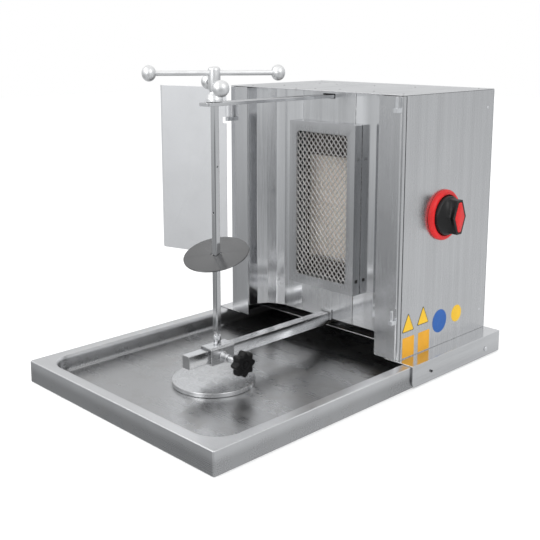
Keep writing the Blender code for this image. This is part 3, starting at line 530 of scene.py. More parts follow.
def rounded(obj, width, segments=2, angle=30.0):
    """Round the sharp edges, and keep the flats flat."""
    bevel = obj.modifiers.new("Rounded", "BEVEL")
    bevel.width = width
    bevel.segments = segments
    bevel.limit_method = "ANGLE"
    bevel.angle_limit = math.radians(angle)
    bevel.harden_normals = False
    bevel.use_clamp_overlap = True
    flats = obj.modifiers.new("Flats", "WEIGHTED_NORMAL")
    flats.keep_sharp = True
    return obj


def place(obj, body, slot, *nodes):
    """Attach a finished piece to its body, and hide the nodes that it stands for. The slot is not used."""
    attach(obj, body)
    if nodes:
        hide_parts(*nodes)
    return obj


def refined(node, body, slot, finish, edge=0.0004, smooth_angle=38.0, segments=2):
    """A merged copy of a node with clean flats and rounded edges."""
    bm = bmesh.new()
    bm.from_mesh(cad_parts[node].data)
    bmesh.ops.remove_doubles(bm, verts=bm.verts, dist=2e-6)
    bmesh.ops.dissolve_limit(bm, angle_limit=math.radians(0.4), verts=bm.verts, edges=bm.edges)
    obj = new_object(f"{node}_finished", bm, finish, smooth_angle)
    if edge:
        rounded(obj, edge, segments)
    return place(obj, body, slot, node)


def loft(loops, capped=True):
    """Bridge closed loops of equal length."""
    bm = bmesh.new()
    rows = [[bm.verts.new(point) for point in loop] for loop in loops]
    if capped:
        bm.faces.new(rows[0])
        bm.faces.new(rows[-1])
    count = len(rows[0])
    for lower, upper in zip(rows, rows[1:]):
        for i in range(count):
            j = (i + 1) % count
            bm.faces.new((lower[i], lower[j], upper[j], upper[i]))
    return bm


def prism(outline, axis, start, end):
    """Extrude an outline: (x, y) along Z, (y, z) along X, (x, z) along Y."""
    def lift(point, level):
        a, b = point
        return {"X": (level, a, b), "Y": (a, level, b), "Z": (a, b, level)}[axis]
    return loft([[lift(point, level) for point in outline] for level in (start, end)])


def block(low, high):
    """A box."""
    outline = [(low[0], low[1]), (high[0], low[1]), (high[0], high[1]), (low[0], high[1])]
    return prism(outline, "Z", low[2], high[2])


def turned(profile, centre, direction, steps=48):
    """Turn (radius, height) points about an axis; without a pole it closes on itself."""
    bm = bmesh.new()
    turn = Vector((0, 0, 1)).rotation_difference(Vector(direction)).to_matrix().to_4x4()
    where = Matrix.Translation(centre) @ turn
    rows = []
    for radius, height in profile:
        if radius == 0:
            rows.append([bm.verts.new(where @ Vector((0, 0, height)))] * steps)
            continue
        angles = [math.tau * step / steps for step in range(steps)]
        rows.append([bm.verts.new(where @ Vector((radius * math.cos(a), radius * math.sin(a), height)))
                     for a in angles])
    pairs = list(zip(rows, rows[1:]))
    if profile[0][0] > 0:
        pairs.append((rows[-1], rows[0]))
    for lower, upper in pairs:
        for i in range(steps):
            j = (i + 1) % steps
            corners = list(dict.fromkeys([lower[i], lower[j], upper[j], upper[i]]))
            if len(corners) > 2:
                bm.faces.new(corners)
    return bm


def bored(obj, radius, start, end, centre, smooth_angle=30.0):
    """Cut a round hole along X through a piece."""
    profile = [(0, start), (radius, start), (radius, end), (0, end)]
    cutter = new_object("hole_cutter", turned(profile, centre, (1, 0, 0), 40), obj.data.materials[0])
    hole = obj.modifiers.new("Hole", "BOOLEAN")
    hole.operation, hole.solver, hole.object = "DIFFERENCE", "EXACT", cutter
    bpy.context.view_layer.update()
    mesh = bpy.data.meshes.new_from_object(obj.evaluated_get(bpy.context.evaluated_depsgraph_get()))
    obj.modifiers.remove(hole)
    bpy.data.objects.remove(cutter, do_unlink=True)
    if len(mesh.polygons) <= len(obj.data.polygons):
        raise RuntimeError(f"{obj.name} got no hole")
    obj.data = mesh
    mesh.shade_smooth()
    mesh.set_sharp_from_angle(angle=math.radians(smooth_angle))
    return obj


def arc(centre, radius, start, end, steps):
    """Points on a circle between two angles in degrees."""
    angles = [math.radians(start + (end - start) * i / steps) for i in range(steps + 1)]
    return [(centre[0] + radius * math.cos(a), centre[1] + radius * math.sin(a)) for a in angles]


def rounded_rectangle(low, high, radius, steps=8):
    left, bottom = low[0] + radius, low[1] + radius
    right, top = high[0] - radius, high[1] - radius
    points = arc((right, top), radius, 0, 90, steps) + arc((left, top), radius, 90, 180, steps)
    points += arc((left, bottom), radius, 180, 270, steps)
    return points + arc((right, bottom), radius, 270, 360, steps)


def ribbon(path, thickness):
    """The outline of a bent sheet: the path, and the path moved to its left."""
    moved = []
    for i, point in enumerate(path):
        here = Vector(point)
        before = here - Vector(path[i - 1]) if i else Vector(path[1]) - here
        after = Vector(path[i + 1]) - here if i + 1 < len(path) else before
        before, after = before.normalized(), after.normalized()
        bisector = (Vector((-before.y, before.x)) + Vector((-after.y, after.x))).normalized()
        reach = thickness / max(bisector.dot(Vector((-before.y, before.x))), 0.3)
        moved.append(tuple(here + bisector * reach))
    return list(path) + moved[::-1]


def mirrored(path):
    """The same path on the other side of X = 0."""
    return [(-x, y) for x, y in reversed(path)]


def sided(path, side):
    return path if side > 0 else mirrored(path)


# Geometry trees for what repeats

class Growth(Recipe):
    """A geometry tree with named size inputs."""

    KINDS = {"size": "NodeSocketFloat", "place": "NodeSocketVector", "count": "NodeSocketInt"}

    def __init__(self, name, **inputs):
        tree = bpy.data.node_groups.new(name, "GeometryNodeTree")
        super().__init__(tree)
        tree.interface.new_socket("Geometry", in_out="OUTPUT", socket_type="NodeSocketGeometry")
        tree.interface.new_socket("Points", in_out="INPUT", socket_type="NodeSocketGeometry")
        for label, kind in inputs.items():
            tree.interface.new_socket(label.replace("_", " ").title(), in_out="INPUT",
                                      socket_type=self.KINDS[kind])
        self.given = tree.nodes.new("NodeGroupInput")
        self.end = tree.nodes.new("NodeGroupOutput")

    def size(self, label):
        return Maths(self, self.given.outputs[label.replace("_", " ").title()])

    def position(self):
        return self.parts(self.node("GeometryNodeInputPosition").outputs[0])

    def instances(self, points, instance, **inputs):
        given = {"Points": points, "Instance": instance, **inputs}
        return self.node("GeometryNodeInstanceOnPoints", None, given).outputs[0]

    def finished(self, geometry, material):
        """Realize the instances and set the finish."""
        solid = self.node("GeometryNodeRealizeInstances", None, {0: geometry}).outputs[0]
        coated = self.node("GeometryNodeSetMaterial", None, {"Geometry": solid, "Material": material})
        self.tree.links.new(coated.outputs[0], self.end.inputs[0])
        return self.tree


def grown(name, tree, values, body, slot, points=((0, 0, 0),), smooth_angle=38.0):
    """Run a geometry tree on some points, and keep its result as a plain mesh."""
    base = bpy.data.meshes.new(name)
    base.from_pydata([tuple(point) for point in points], [], [])
    obj = bpy.data.objects.new(name, base)
    bpy.context.scene.collection.objects.link(obj)
    modifier = obj.modifiers.new("Growth", "NODES")
    modifier.node_group = tree
    labels = {item.name: item.identifier for item in tree.interface.items_tree
              if item.item_type == "SOCKET" and item.in_out == "INPUT"}
    for label, value in values.items():
        modifier[labels[label]] = value
    bpy.context.view_layer.update()
    mesh = bpy.data.meshes.new_from_object(obj.evaluated_get(bpy.context.evaluated_depsgraph_get()))
    obj.modifiers.remove(modifier)
    obj.data = mesh
    if len(mesh.polygons) == 0:
        raise RuntimeError(f"{name} came out empty")
    mesh.name = name
    mesh.shade_smooth()
    mesh.set_sharp_from_angle(angle=math.radians(smooth_angle))
    return place(obj, body, slot)


def woven_tree(material):
    """Two families of wires that cross over and under each other inside a rectangle."""
    tree = Growth("woven_screen", lean_across="size", lean_up="size", wire_radius="size",
                  half_width="size", half_height="size", middle="place")
    families = []
    for family in (0, 1):
        reach = 21
        along = tree.node("GeometryNodeMeshLine", {"mode": "OFFSET"},
                          {"Count": 4 * reach + 1, "Start Location": (-float(reach), 0, 0),
                           "Offset": (0.5, 0, 0)}).outputs[0]
        rows = tree.node("GeometryNodeMeshLine", {"mode": "OFFSET"},
                         {"Count": 2 * reach + 1, "Start Location": (0, -float(reach), 0),
                          "Offset": (0, 1.0, 0)}).outputs[0]
        wires = tree.node("GeometryNodeRealizeInstances", None, {0: tree.instances(rows, along)}).outputs[0]
        a, b, _ = tree.position()
        if family:
            a, b = b, a
        depth = ((a + b) * math.pi).cosine() * tree.size("wire_radius") * (1 - 2 * family) * 0.55
        spot = tree.join((a + b) * tree.size("lean_across"), depth, (a - b) * tree.size("lean_up"))
        laid = tree.node("GeometryNodeSetPosition", None, {"Geometry": wires, "Position": spot}).outputs[0]
        x, _, z = tree.position()
        outside = abs(x).above(tree.size("half_width")).most(abs(z).above(tree.size("half_height")))
        kept = tree.node("GeometryNodeDeleteGeometry", {"domain": "POINT"},
                         {"Geometry": laid, "Selection": outside}).outputs[0]
        families.append(kept)
    joined = tree.node("GeometryNodeJoinGeometry")
    for kept in families:
        tree.tree.links.new(kept, joined.inputs[0])
    curve = tree.node("GeometryNodeMeshToCurve", None, {0: joined.outputs[0]}).outputs[0]
    profile = tree.node("GeometryNodeCurvePrimitiveCircle", {"mode": "RADIUS"},
                        {"Resolution": 8, "Radius": tree.size("wire_radius")}).outputs[0]
    wire = tree.node("GeometryNodeCurveToMesh", None,
                     {"Curve": curve, "Profile Curve": profile, "Fill Caps": True}).outputs[0]
    moved = tree.node("GeometryNodeTransform", None, {"Geometry": wire, "Translation": tree.size("middle")})
    return tree.finished(moved.outputs[0], material)


def ports_tree(material):
    """Small flat six-sided discs on a rectangular grid that faces -Y, coloured as painted shade for the flame
    ports.
    """
    tree = Growth("flame_ports", width="size", height="size", columns="count", rows="count",
                  port_radius="size", middle="place")
    grid = tree.node("GeometryNodeMeshGrid", None,
                     {"Size X": tree.size("width"), "Size Y": tree.size("height"),
                      "Vertices X": tree.size("columns"), "Vertices Y": tree.size("rows")}).outputs[0]
    port = tree.node("GeometryNodeMeshCircle", {"fill_type": "NGON"},
                     {"Vertices": 6, "Radius": tree.size("port_radius")}).outputs[0]
    ports = tree.instances(grid, port)
    stood = tree.node("GeometryNodeTransform", None,
                      {"Geometry": ports, "Rotation": (math.pi / 2, 0, 0),
                       "Translation": tree.size("middle")})
    return tree.finished(stood.outputs[0], material)


def rivets_tree(material):
    """A domed head on each point, with its axis along a direction."""
    tree = Growth("rivet_heads", radius="size", rise="size", turn="place")
    dome = tree.node("GeometryNodeMeshUVSphere", None, {"Segments": 16, "Rings": 8, "Radius": 1.0}).outputs[0]
    scale = tree.join(tree.size("radius"), tree.size("radius"), tree.size("rise"))
    heads = tree.instances(tree.given.outputs["Points"], dome, Scale=scale, Rotation=tree.size("turn"))
    return tree.finished(heads, material)


# Sizes and colours that a user may change

class GrillSizes(bpy.types.PropertyGroup):
    """Sizes of the repeated and finished details."""

    wire_radius: FloatProperty(name="Wire radius", description="Half the thickness of a screen wire",
                               default=0.00088, unit="LENGTH", subtype="DISTANCE")
    lean_across: FloatProperty(name="Opening width", description="Half the width of a screen opening",
                               default=0.0049, unit="LENGTH", subtype="DISTANCE")
    lean_up: FloatProperty(name="Opening height", description="Half the height of a screen opening",
                           default=0.00575, unit="LENGTH", subtype="DISTANCE")
    port_radius: FloatProperty(name="Port radius", description="Radius of a flame port in the tiles",
                               default=0.00062, unit="LENGTH", subtype="DISTANCE")
    rivet_radius: FloatProperty(name="Rivet radius", description="Radius of a rivet head",
                                default=0.0024, unit="LENGTH", subtype="DISTANCE")
    edge: FloatProperty(name="Sheet edge", description="Rounding of the sheet's cut edges",
                        default=0.0004, unit="LENGTH", subtype="DISTANCE")


class GrillFinishes(bpy.types.PropertyGroup):
    """Colours of the finishes."""

    steel: FloatVectorProperty(name="Steel", description="Reflected colour of the steel sheet",
                               default=(0.64, 0.645, 0.655), subtype="COLOR")
    casting: FloatVectorProperty(name="Casting", description="Reflected colour of the cast handle",
                                 default=(0.80, 0.805, 0.81), subtype="COLOR")
    black: FloatVectorProperty(name="Black plastic", description="Colour of the knobs",
                               default=(0.0045, 0.0045, 0.005), subtype="COLOR")
    red: FloatVectorProperty(name="Red plastic", description="Colour of the bezel and the pointer",
                             default=(0.66, 0.008, 0.010), subtype="COLOR")
    ceramic: FloatVectorProperty(name="Ceramic", description="Colour of the burner tiles",
                                 default=(0.98, 0.87, 0.79), subtype="COLOR")
    yellow: FloatVectorProperty(name="Yellow film", description="Colour of the triangular plates",
                                default=(0.86, 0.52, 0.006), subtype="COLOR")
    orange: FloatVectorProperty(name="Orange film", description="Colour of the square plates",
                                default=(0.84, 0.40, 0.006), subtype="COLOR")
    blue: FloatVectorProperty(name="Blue film", description="Colour of the round plate",
                              default=(0.004, 0.10, 0.40), subtype="COLOR")
    ink: FloatVectorProperty(name="Film border", description="Colour of the plates' borders",
                             default=(0.05, 0.045, 0.03), subtype="COLOR")
    floor: FloatVectorProperty(name="Floor", description="Colour of the studio floor",
                               default=(0.93, 0.93, 0.93), subtype="COLOR")


# The stage

def studio_world():
    """White behind, with a soft gradient that the metal reflects."""
    world = bpy.data.worlds.new("studio")
    world.use_nodes = True
    recipe = Recipe(world.node_tree)
    back = world.node_tree.nodes["Background"]
    x, y, z = recipe.parts(recipe.node("ShaderNodeTexCoord").outputs["Generated"])
    ramp = recipe.node("ShaderNodeValToRGB", {"stops": [
        (0.00, (0.62, 0.63, 0.64)), (0.40, (0.70, 0.71, 0.72)), (0.52, (0.60, 0.61, 0.62)),
        (0.62, (0.80, 0.81, 0.82)), (0.80, (1.00, 1.00, 1.00)), (1.00, (1.00, 1.00, 1.00))]},
        {"Fac": z * 0.5 + 0.5})
    left_front = (x * -0.707 + y * -0.707).spread(0.50, 0.97) * (1.0 - z.spread(-0.26, -0.04))
    behind = (x * -0.55 + y * 0.83).spread(0.75, 0.99) * (1.0 - z.spread(0.05, 0.45))
    facing = (x * 0.70 + y * -0.714).spread(0.84, 0.94) * (1.0 - z.spread(-0.13, -0.06))
    dark = (left_front * 0.62).most(behind * 0.18).most(facing * 0.78)
    shaded = recipe.node("ShaderNodeMix", {"data_type": "RGBA"},
                         {0: dark, 6: ramp.outputs[0], 7: (0.10, 0.105, 0.11, 1)})
    seen = recipe.node("ShaderNodeLightPath").outputs["Is Camera Ray"]
    colour = recipe.node("ShaderNodeMix", {"data_type": "RGBA"},
                         {0: seen, 6: shaded.outputs[2], 7: (1.0, 1.0, 1.0, 1)})
    recipe.feed(back.inputs["Color"], colour.outputs[2])
    back.inputs["Strength"].default_value = 1.0
    return world


def soft_light(name, where, towards, width, height, power):
    light = bpy.data.lights.new(name, "AREA")
    light.shape = "RECTANGLE"
    light.size, light.size_y = width, height
    light.energy = power
    obj = bpy.data.objects.new(name, light)
    obj.location = where
    obj.rotation_euler = (Vector(towards) - Vector(where)).to_track_quat("-Z", "Y").to_euler()
    bpy.context.scene.collection.objects.link(obj)
    return obj


class GRILL_OT_stage(bpy.types.Operator):
    """Make the floor, the lights and the camera."""

    bl_idname = "grill.stage"
    bl_label = "Stage"

    def execute(self, context):
        scene = context.scene
        scene.world = studio_world()
        scene.view_settings.view_transform = "Standard"
        camera = bpy.data.cameras.new("camera")
        camera.sensor_width = CAMERA_SENSOR
        camera.lens = CAMERA_LENS
        camera.shift_y = CAMERA_SHIFT
        seen = bpy.data.objects.new("camera", camera)
        seen.location = CAMERA_PLACE
        seen.rotation_euler = (math.pi / 2 - CAMERA_TILT, 0, CAMERA_TURN)
        scene.collection.objects.link(seen)
        scene.camera = seen
        for light in LIGHTS:
            soft_light(*light)
        finish = Finish("studio_floor")
        tone = tuple(colours().floor)
        cloud = finish.noise((3, 3, 3), 2.0)
        finish.done(finish.mix(cloud, tinted(tone, 0.995), tone), 0.9 + 0.02 * cloud, 0.0,
                    emission_strength=0.22)
        finish.shader.inputs["Emission Color"].default_value = (1.0, 1.0, 1.0, 1.0)
        size, level = FLOOR_HALF, FLOOR_LEVEL
        bm = loft([[(-size, -size, level), (size, -size, level), (size, size, level), (-size, size, level)]],
                  capped=False)
        bm.faces.new(bm.verts)
        floor = new_object("floor", bm, finish.material, orient=False)
        floor.visible_glossy = False
        return {"FINISHED"}


# Base

def tray_surface():
    """The folded tray: skirt, rolled edge, flat rim and a recess with round corners."""
    half_x, half_y, top = TRAY_HIGH.x, TRAY_HIGH.y, TRAY_HIGH.z
    rim, corner, floor, hem = TRAY_RIM, TRAY_CORNER, TRAY_FLOOR, TRAY_HEM
    wall = rim + 0.005

    def ring(inset, radius, z):
        low, high = (-half_x + inset, -half_y + inset), (half_x - inset, half_y - inset)
        return [(x, y, z) for x, y in rounded_rectangle(low, high, radius, 20)]

    recess = (
        (wall + 0.0100, corner - 0.0150, floor), (wall + 0.0068, corner - 0.0118, floor + 0.0001),
        (wall + 0.0042, corner - 0.0092, floor + 0.0007), (wall + 0.0022, corner - 0.0072, floor + 0.0021),
        (wall + 0.0010, corner - 0.0062, floor + 0.0045), (wall + 0.0004, corner - 0.0055, floor + 0.0080),
        (wall - 0.0006, corner - 0.0046, top - 0.0068), (wall - 0.0014, corner - 0.0036, top - 0.0040),
        (wall - 0.0026, corner - 0.0022, top - 0.0019), (wall - 0.0040, corner - 0.0008, top - 0.0005),
        (rim - 0.0004, corner, top))
    skirt = (
        (0.0022, 0.0026, top), (0.0012, 0.0028, top - 0.0002), (0.0004, 0.0030, top - 0.0008),
        (0.0, 0.0032, top - 0.0018), (0.0, 0.0032, 0.0012), (0.0004, 0.0030, 0.0004), (0.0014, 0.0028, 0.0))
    inside = ((hem, 0.0016, 0.0), (hem, 0.0016, SHEET), (SHEET + 0.0006, 0.0022, SHEET),
              (SHEET + 0.0006, 0.0022, top - SHEET), (rim - 0.001, corner, top - SHEET),
              (wall - 0.0022, corner - 0.003, top - 0.0045), (wall - 0.0008, corner - 0.005, floor + 0.005),
              (wall + 0.0042, corner - 0.0092, floor - SHEET + 0.0006),
              (wall + 0.0090, corner - 0.0140, floor - SHEET))
    return loft([ring(*row) for row in recess + skirt + inside])


class GRILL_OT_base(bpy.types.Operator):
    """Make the drip tray, its stiffener, the side rails and their screws."""

    bl_idname = "grill.base"
    bl_label = "Base"

    def execute(self, context):
        tray = new_object("drip_tray_sheet", tray_surface(), tray_steel(), 50.0)
        tray.modifiers.new("Flats", "WEIGHTED_NORMAL").keep_sharp = True
        place(tray, "grill", "polished_steel", "drip_tray")
        edge = sizes().edge
        refined("tray_stiffener", "grill", "brushed_steel", sheet_steel("X", 0.34, 0.85), edge)
        for side in ("left", "right"):
            refined(f"side_rail_{side}", "grill", "brushed_steel", sheet_steel("Y", 0.24, 1.0), edge)
            refined(f"rail_screw_{side}", "grill", "brushed_steel", bright_chrome(), 0.0003)
        return {"FINISHED"}


# Housing

def panel_path(side):
    """Plan of a side panel: a short return behind the seam, the side, and the rear return."""
    seam = FRONT + 0.0088
    path = [(HALF - 0.0075, seam)] + arc((HALF - 0.0012, seam + 0.0012), 0.0012, 270, 360, 6)
    path += [(HALF, BACK - 0.002)] + arc((HALF - 0.002, BACK - 0.002), 0.002, 0, 90, 4)[1:]
    return sided(path + [(HALF - 0.012, BACK)], side)


def flange_path(side):
    """Plan of a front flange: flat front with a soft bend towards the side, ending at the seam."""
    bend = 0.0062
    end = HALF - 0.0004
    path = [(HALF - FLANGE_WIDTH, FRONT)] + arc((end - bend, FRONT + bend), bend, 270, 360, 10)
    return sided(path + [(end, FRONT + bend + 0.0008)], side)


def roof_outline():
    radius = 0.0075
    outline = [(-HALF, BACK)] + arc((-HALF + radius, FRONT + radius), radius, 180, 270, 12)
    return outline + arc((HALF - radius, FRONT + radius), radius, 270, 360, 12) + [(HALF, BACK)]


class GRILL_OT_housing(bpy.types.Operator):
    """Make the side panels, the front flanges, the roof, the rear cover and the floor."""

    bl_idname = "grill.housing"
    bl_label = "Housing"

    def execute(self, context):
        edge = sizes().edge
        low, high = PANEL_LOW.z, PANEL_HIGH.z
        for side, word in ((1, "right"), (-1, "left")):
            panel = new_object(f"side_sheet_{word}", prism(ribbon(panel_path(side), SHEET), "Z", low, high),
                               sheet_steel("Z", 0.30, 1.0), 30.0)
            place(rounded(panel, 0.0003), "grill", "brushed_steel", f"side_panel_{word}")
            flange = new_object(f"front_flange_{word}",
                                prism(ribbon(flange_path(side), SHEET), "Z", low, high - 0.0006),
                                sheet_steel("Z", 0.24, 1.0), 30.0)
            place(rounded(flange, 0.0003), "grill", "brushed_steel")
        roof = new_object("roof_sheet", prism(roof_outline(), "Z", ROOF_LOW.z, ROOF_HIGH.z),
                          sheet_steel("Y", 0.36, 1.04), 30.0)
        place(rounded(roof, 0.0004), "grill", "brushed_steel", "roof_cover")
        refined("rear_cover", "grill", "brushed_steel", sheet_steel("Z", 0.32, 0.98), 0.0002)
        refined("housing_floor", "grill", "brushed_steel", sheet_steel("X", 0.36, 0.85), edge)
        return {"FINISHED"}


# Chamber behind the spit

def chamber_path(side):
    """Plan of a wall's front face: the flat beside the seam, then a quarter arc to the flange."""
    front = FRONT + SHEET + CLEARANCE
    radius = CHAMBER_WALL - front
    middle = HALF - POCKET_INSET - radius
    bends = [math.radians(angle) for angle in WALL_BENDS]
    path = [(SEAM_X, CHAMBER_WALL), (FIRST_BEND_X, CHAMBER_WALL)]
    path += [(middle + radius * math.cos(a), front + radius * math.sin(a)) for a in bends]
    return sided(path, side)


class GRILL_OT_chamber(bpy.types.Operator):
    """Make the curved chamber walls, the centre panel and the arm's collar."""

    bl_idname = "grill.chamber"
    bl_label = "Chamber"

    def execute(self, context):
        edge = sizes().edge
        low, high = WALL_LOW.z, WALL_HIGH.z - 0.0010
        for side, word in ((1, "right"), (-1, "left")):
            wall = new_object(f"chamber_sheet_{word}",
                              prism(ribbon(chamber_path(side), SHEET), "Z", low, high),
                              sheet_steel("Z", 0.15, 1.22), 8.0)
            place(rounded(wall, 0.0009, 3, 10.0), "grill", "brushed_steel", f"chamber_wall_{word}")
        refined("chamber_centre_panel", "grill", "brushed_steel", sheet_steel("Z", 0.22, 1.15), edge)
        refined("arm_collar", "grill", "brushed_steel", sheet_steel("X", 0.26, 0.9), edge)
        return {"FINISHED"}


# Burner

class GRILL_OT_burner(bpy.types.Operator):
    """Make the burner's frame, woven screen, tiles with flame ports, box, plenum, mixer and sensor."""

    bl_idname = "grill.burner"
    bl_label = "Burner"

    def execute(self, context):
        edge = sizes().edge
        refined("burner_cover_frame", "grill", "brushed_steel", sheet_steel("Z", 0.25, 0.82), 0.0006)
        side, front = FRAME_HIGH.x, FRAME_LOW.y
        looks = ((moulded("black", 0.30, 0.20), "black_plastic"),
                 (sheet_steel("Z", 0.30, 0.55), "brushed_steel"))
        for number, (z, (finish, slot)) in enumerate(zip(CLIP_LEVELS, looks)):
            solid = block((side - 0.0002, front + 0.0060, z - 0.0028),
                          (side + 0.0006, front + 0.0116, z + 0.0028))
            place(rounded(new_object(f"frame_clip_{number}", solid, finish), 0.0002), "grill", slot)
        middle = (SCREEN_LOW + SCREEN_HIGH) / 2
        wire = sizes().wire_radius
        screen = grown("burner_screen", woven_tree(screen_wire()), {
            "Lean Across": sizes().lean_across, "Lean Up": sizes().lean_up,
            "Wire Radius": wire, "Half Width": SCREEN_HIGH.x - wire,
            "Half Height": (SCREEN_HIGH.z - SCREEN_LOW.z) / 2 - wire,
            "Middle": (0.0, middle.y + 0.0008, middle.z)}, "grill", "brushed_steel", smooth_angle=70.0)
        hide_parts("burner_mesh")
        for node in ("ceramic_tile_lower", "ceramic_tile_upper"):
            refined(node, "grill", "ceramic", fired_ceramic(), 0.0008)
        ports_low, ports_high = TILE_LOW.z + TILE_MARGIN, UPPER_TILE_HIGH.z - TILE_MARGIN
        pitch = PORT_PITCH
        columns = int((TILE_HIGH.x - TILE_LOW.x - 0.008) / pitch)
        rows = int((ports_high - ports_low) / pitch)
        # The flame ports are flat discs on the tiles whose dark colour is painted shade.
        grown("flame_ports", ports_tree(painted_port_shade()), {
            "Width": columns * pitch, "Height": rows * pitch, "Columns": columns + 1, "Rows": rows + 1,
            "Port Radius": sizes().port_radius,
            "Middle": (0.0, TILE_LOW.y - 0.00012, (ports_low + ports_high) / 2)}, "grill", "ceramic")
        # The box's near-black finish is partly painted shade round the burner.
        refined("burner_box", "grill", "brushed_steel", scorched_steel(), edge)
        refined("burner_plenum", "grill", "brushed_steel", sheet_steel("Z", 0.34, 0.9), edge)
        refined("mixer_tube", "grill", "cast_aluminium", cast_aluminium(), 0.0)
        refined("thermocouple", "grill", "bright_chrome", bright_chrome(), 0.0)
        return {"FINISHED"}


# Gas train and control

class GRILL_OT_gas_train(bpy.types.Operator):
    """Make the injector, the pipes, the inlet, the valve and its plunger."""

    bl_idname = "grill.gas_train"
    bl_label = "Gas train"

    def execute(self, context):
        for node in ("gas_injector", "burner_pipe", "inlet_pipe", "inlet_nipple", "gas_valve"):
            refined(node, "grill", "brass", old_brass(), 0.0002, 50.0)
        refined("valve_plunger", "valve_stem", "brass", old_brass(), 0.0)
        refined("valve_spindle", "control_knob", "brushed_steel", bright_chrome(), 0.0)
        return {"FINISHED"}


def kite(angle, width, height, shoulder):
    """Radius of the grip's six-sided outline at an angle from +Y towards +Z."""
    c, s = abs(math.cos(angle)), abs(math.sin(angle))
    side = width * height / (height * c + (width - shoulder) * s)
    return min(side, height / s) if s > 1e-6 else side


def knob_loop(x, shape, steps=96):
    """A closed loop round the knob's axis at x, from a radius for each angle."""
    angles = [math.tau * (step + 0.5) / steps for step in range(steps)]
    return [(x, KNOB_Y + shape(a) * math.cos(a), KNOB_Z + shape(a) * math.sin(a)) for a in angles]


class GRILL_OT_gas_control(bpy.types.Operator):
    """Make the red bezel, the black knob with its hollowed grip and the red pointer."""

    bl_idname = "grill.gas_control"
    bl_label = "Gas control"

    def execute(self, context):
        face, front = BEZEL_LOW.x, BEZEL_HIGH.x
        outer = BEZEL_HIGH.y - KNOB_Y
        skirt = KNOB_HIGH.y - KNOB_Y
        well = skirt + 0.0013
        profile = [(0.0062, face), (outer, face), (outer, face + 0.0030), (outer - 0.0004, face + 0.0040),
                   (outer - 0.0030, front - 0.0006), (outer - 0.0042, front), (well + 0.0010, front),
                   (well + 0.0003, front - 0.0003), (well, front - 0.0010), (well, face + 0.0009),
                   (0.0062, face + 0.0009)]
        bezel = new_object("bezel_ring", turned(profile, (0, KNOB_Y, KNOB_Z), (1, 0, 0), 96),
                           moulded("red", 0.30), 30.0)
        place(bezel, "grill", "red_plastic", "knob_bezel")

        back, tip = KNOB_LOW.x, KNOB_HIGH.x
        grip_top = tip - 0.0003
        skirt_rings = ((0.0002, 0.0022), (0.0, 0.0016), (0.0, 0.0005), (0.0005, 0.0), (0.0060, 0.0),
                       (0.0075, 0.0004), (0.0086, 0.0014))
        loops = [knob_loop(back + forward, lambda a, r=skirt - inward: r) for forward, inward in skirt_rings]
        rise = grip_top - (back + 0.0090)
        for level in range(11):
            t = level / 10
            spread_out = (1 - t) ** 3.2

            def shape(a, t=t, spread_out=spread_out):
                inner = kite(a, 0.0165, 0.0268, 0.0062)
                waist = 0.0035 * math.sin(math.pi * min(t * 1.15, 1.0)) * math.cos(a) ** 2
                return inner - waist + (skirt - 0.0028 - inner) * spread_out
            loops.append(knob_loop(back + 0.0090 + rise * t, shape))
        crown = ((tip, (0.0158, 0.0261, 0.0058)), (tip, (0.0134, 0.0240, 0.0040)),
                 (tip - 0.0009, (0.0130, 0.0236, 0.0038)))
        loops += [knob_loop(x, lambda a, k=k: kite(a, *k)) for x, k in crown]
        knob = new_object("knob_body", loft(loops), moulded("black", 0.30), 40.0)
        place(knob, "control_knob", "black_plastic", "gas_knob")

        inlay = ((tip - 0.0008, (0.0126, 0.0232, 0.0036)), (tip + 0.0001, (0.0126, 0.0232, 0.0036)),
                 (POINTER_HIGH.x, (0.0118, 0.0224, 0.0032)))
        loops = [knob_loop(x, lambda a, k=k: kite(a, *k)) for x, k in inlay]
        pointer = new_object("pointer_inlay", loft(loops), moulded("red", 0.30), 40.0)
        place(pointer, "control_knob", "red_plastic", "knob_pointer")
        return {"FINISHED"}


# Clamp and arms

def axis_ring(x, radius_at, steps):
    """A closed loop round the clamp screw's axis."""
    angles = [math.tau * step / steps for step in range(steps)]
    return [(x, SPIT_Y + radius_at(a) * math.cos(a), CLAMP_Z + radius_at(a) * math.sin(a)) for a in angles]


def star_grip():
    """Eight soft lobes with rounded faces, and a stepped hub towards the stem."""
    reach = STAR_HIGH.z - CLAMP_Z
    lobes, steps = 8, 160
    mean, swing = reach - 0.0022, 0.0022

    def lobed(shrink):
        return lambda a: (mean - shrink) + swing * (1 - 0.25 * shrink / 0.004) * math.cos(lobes * a)

    def plain(radius):
        return lambda a: radius

    start, low, high = STAR_LOW.x, STAR_HIGH.x - 0.0140, STAR_HIGH.x
    hub = ((start, 0.0060), (start, 0.0088), (start + 0.0005, 0.0094), (low - 0.0006, 0.0098))
    grip = ((low, 0.0065), (low, 0.0032), (low + 0.0005, 0.0014), (low + 0.0018, 0.0003), (low + 0.0035, 0.0),
            (high - 0.0035, 0.0), (high - 0.0018, 0.0004), (high - 0.0006, 0.0016), (high - 0.0001, 0.0034),
            (high - 0.0001, 0.0070))
    dimple = ((high - 0.0006, 0.0078), (high - 0.0018, 0.0070), (high - 0.0018, 0.0040),
              (high - 0.0004, 0.0034), (high, 0.0012))
    rows = [(x, plain(radius)) for x, radius in hub]
    rows += [(x, lobed(shrink)) for x, shrink in grip]
    rows += [(x, plain(radius)) for x, radius in dimple]
    return loft([axis_ring(x, shape, steps) for x, shape in rows])


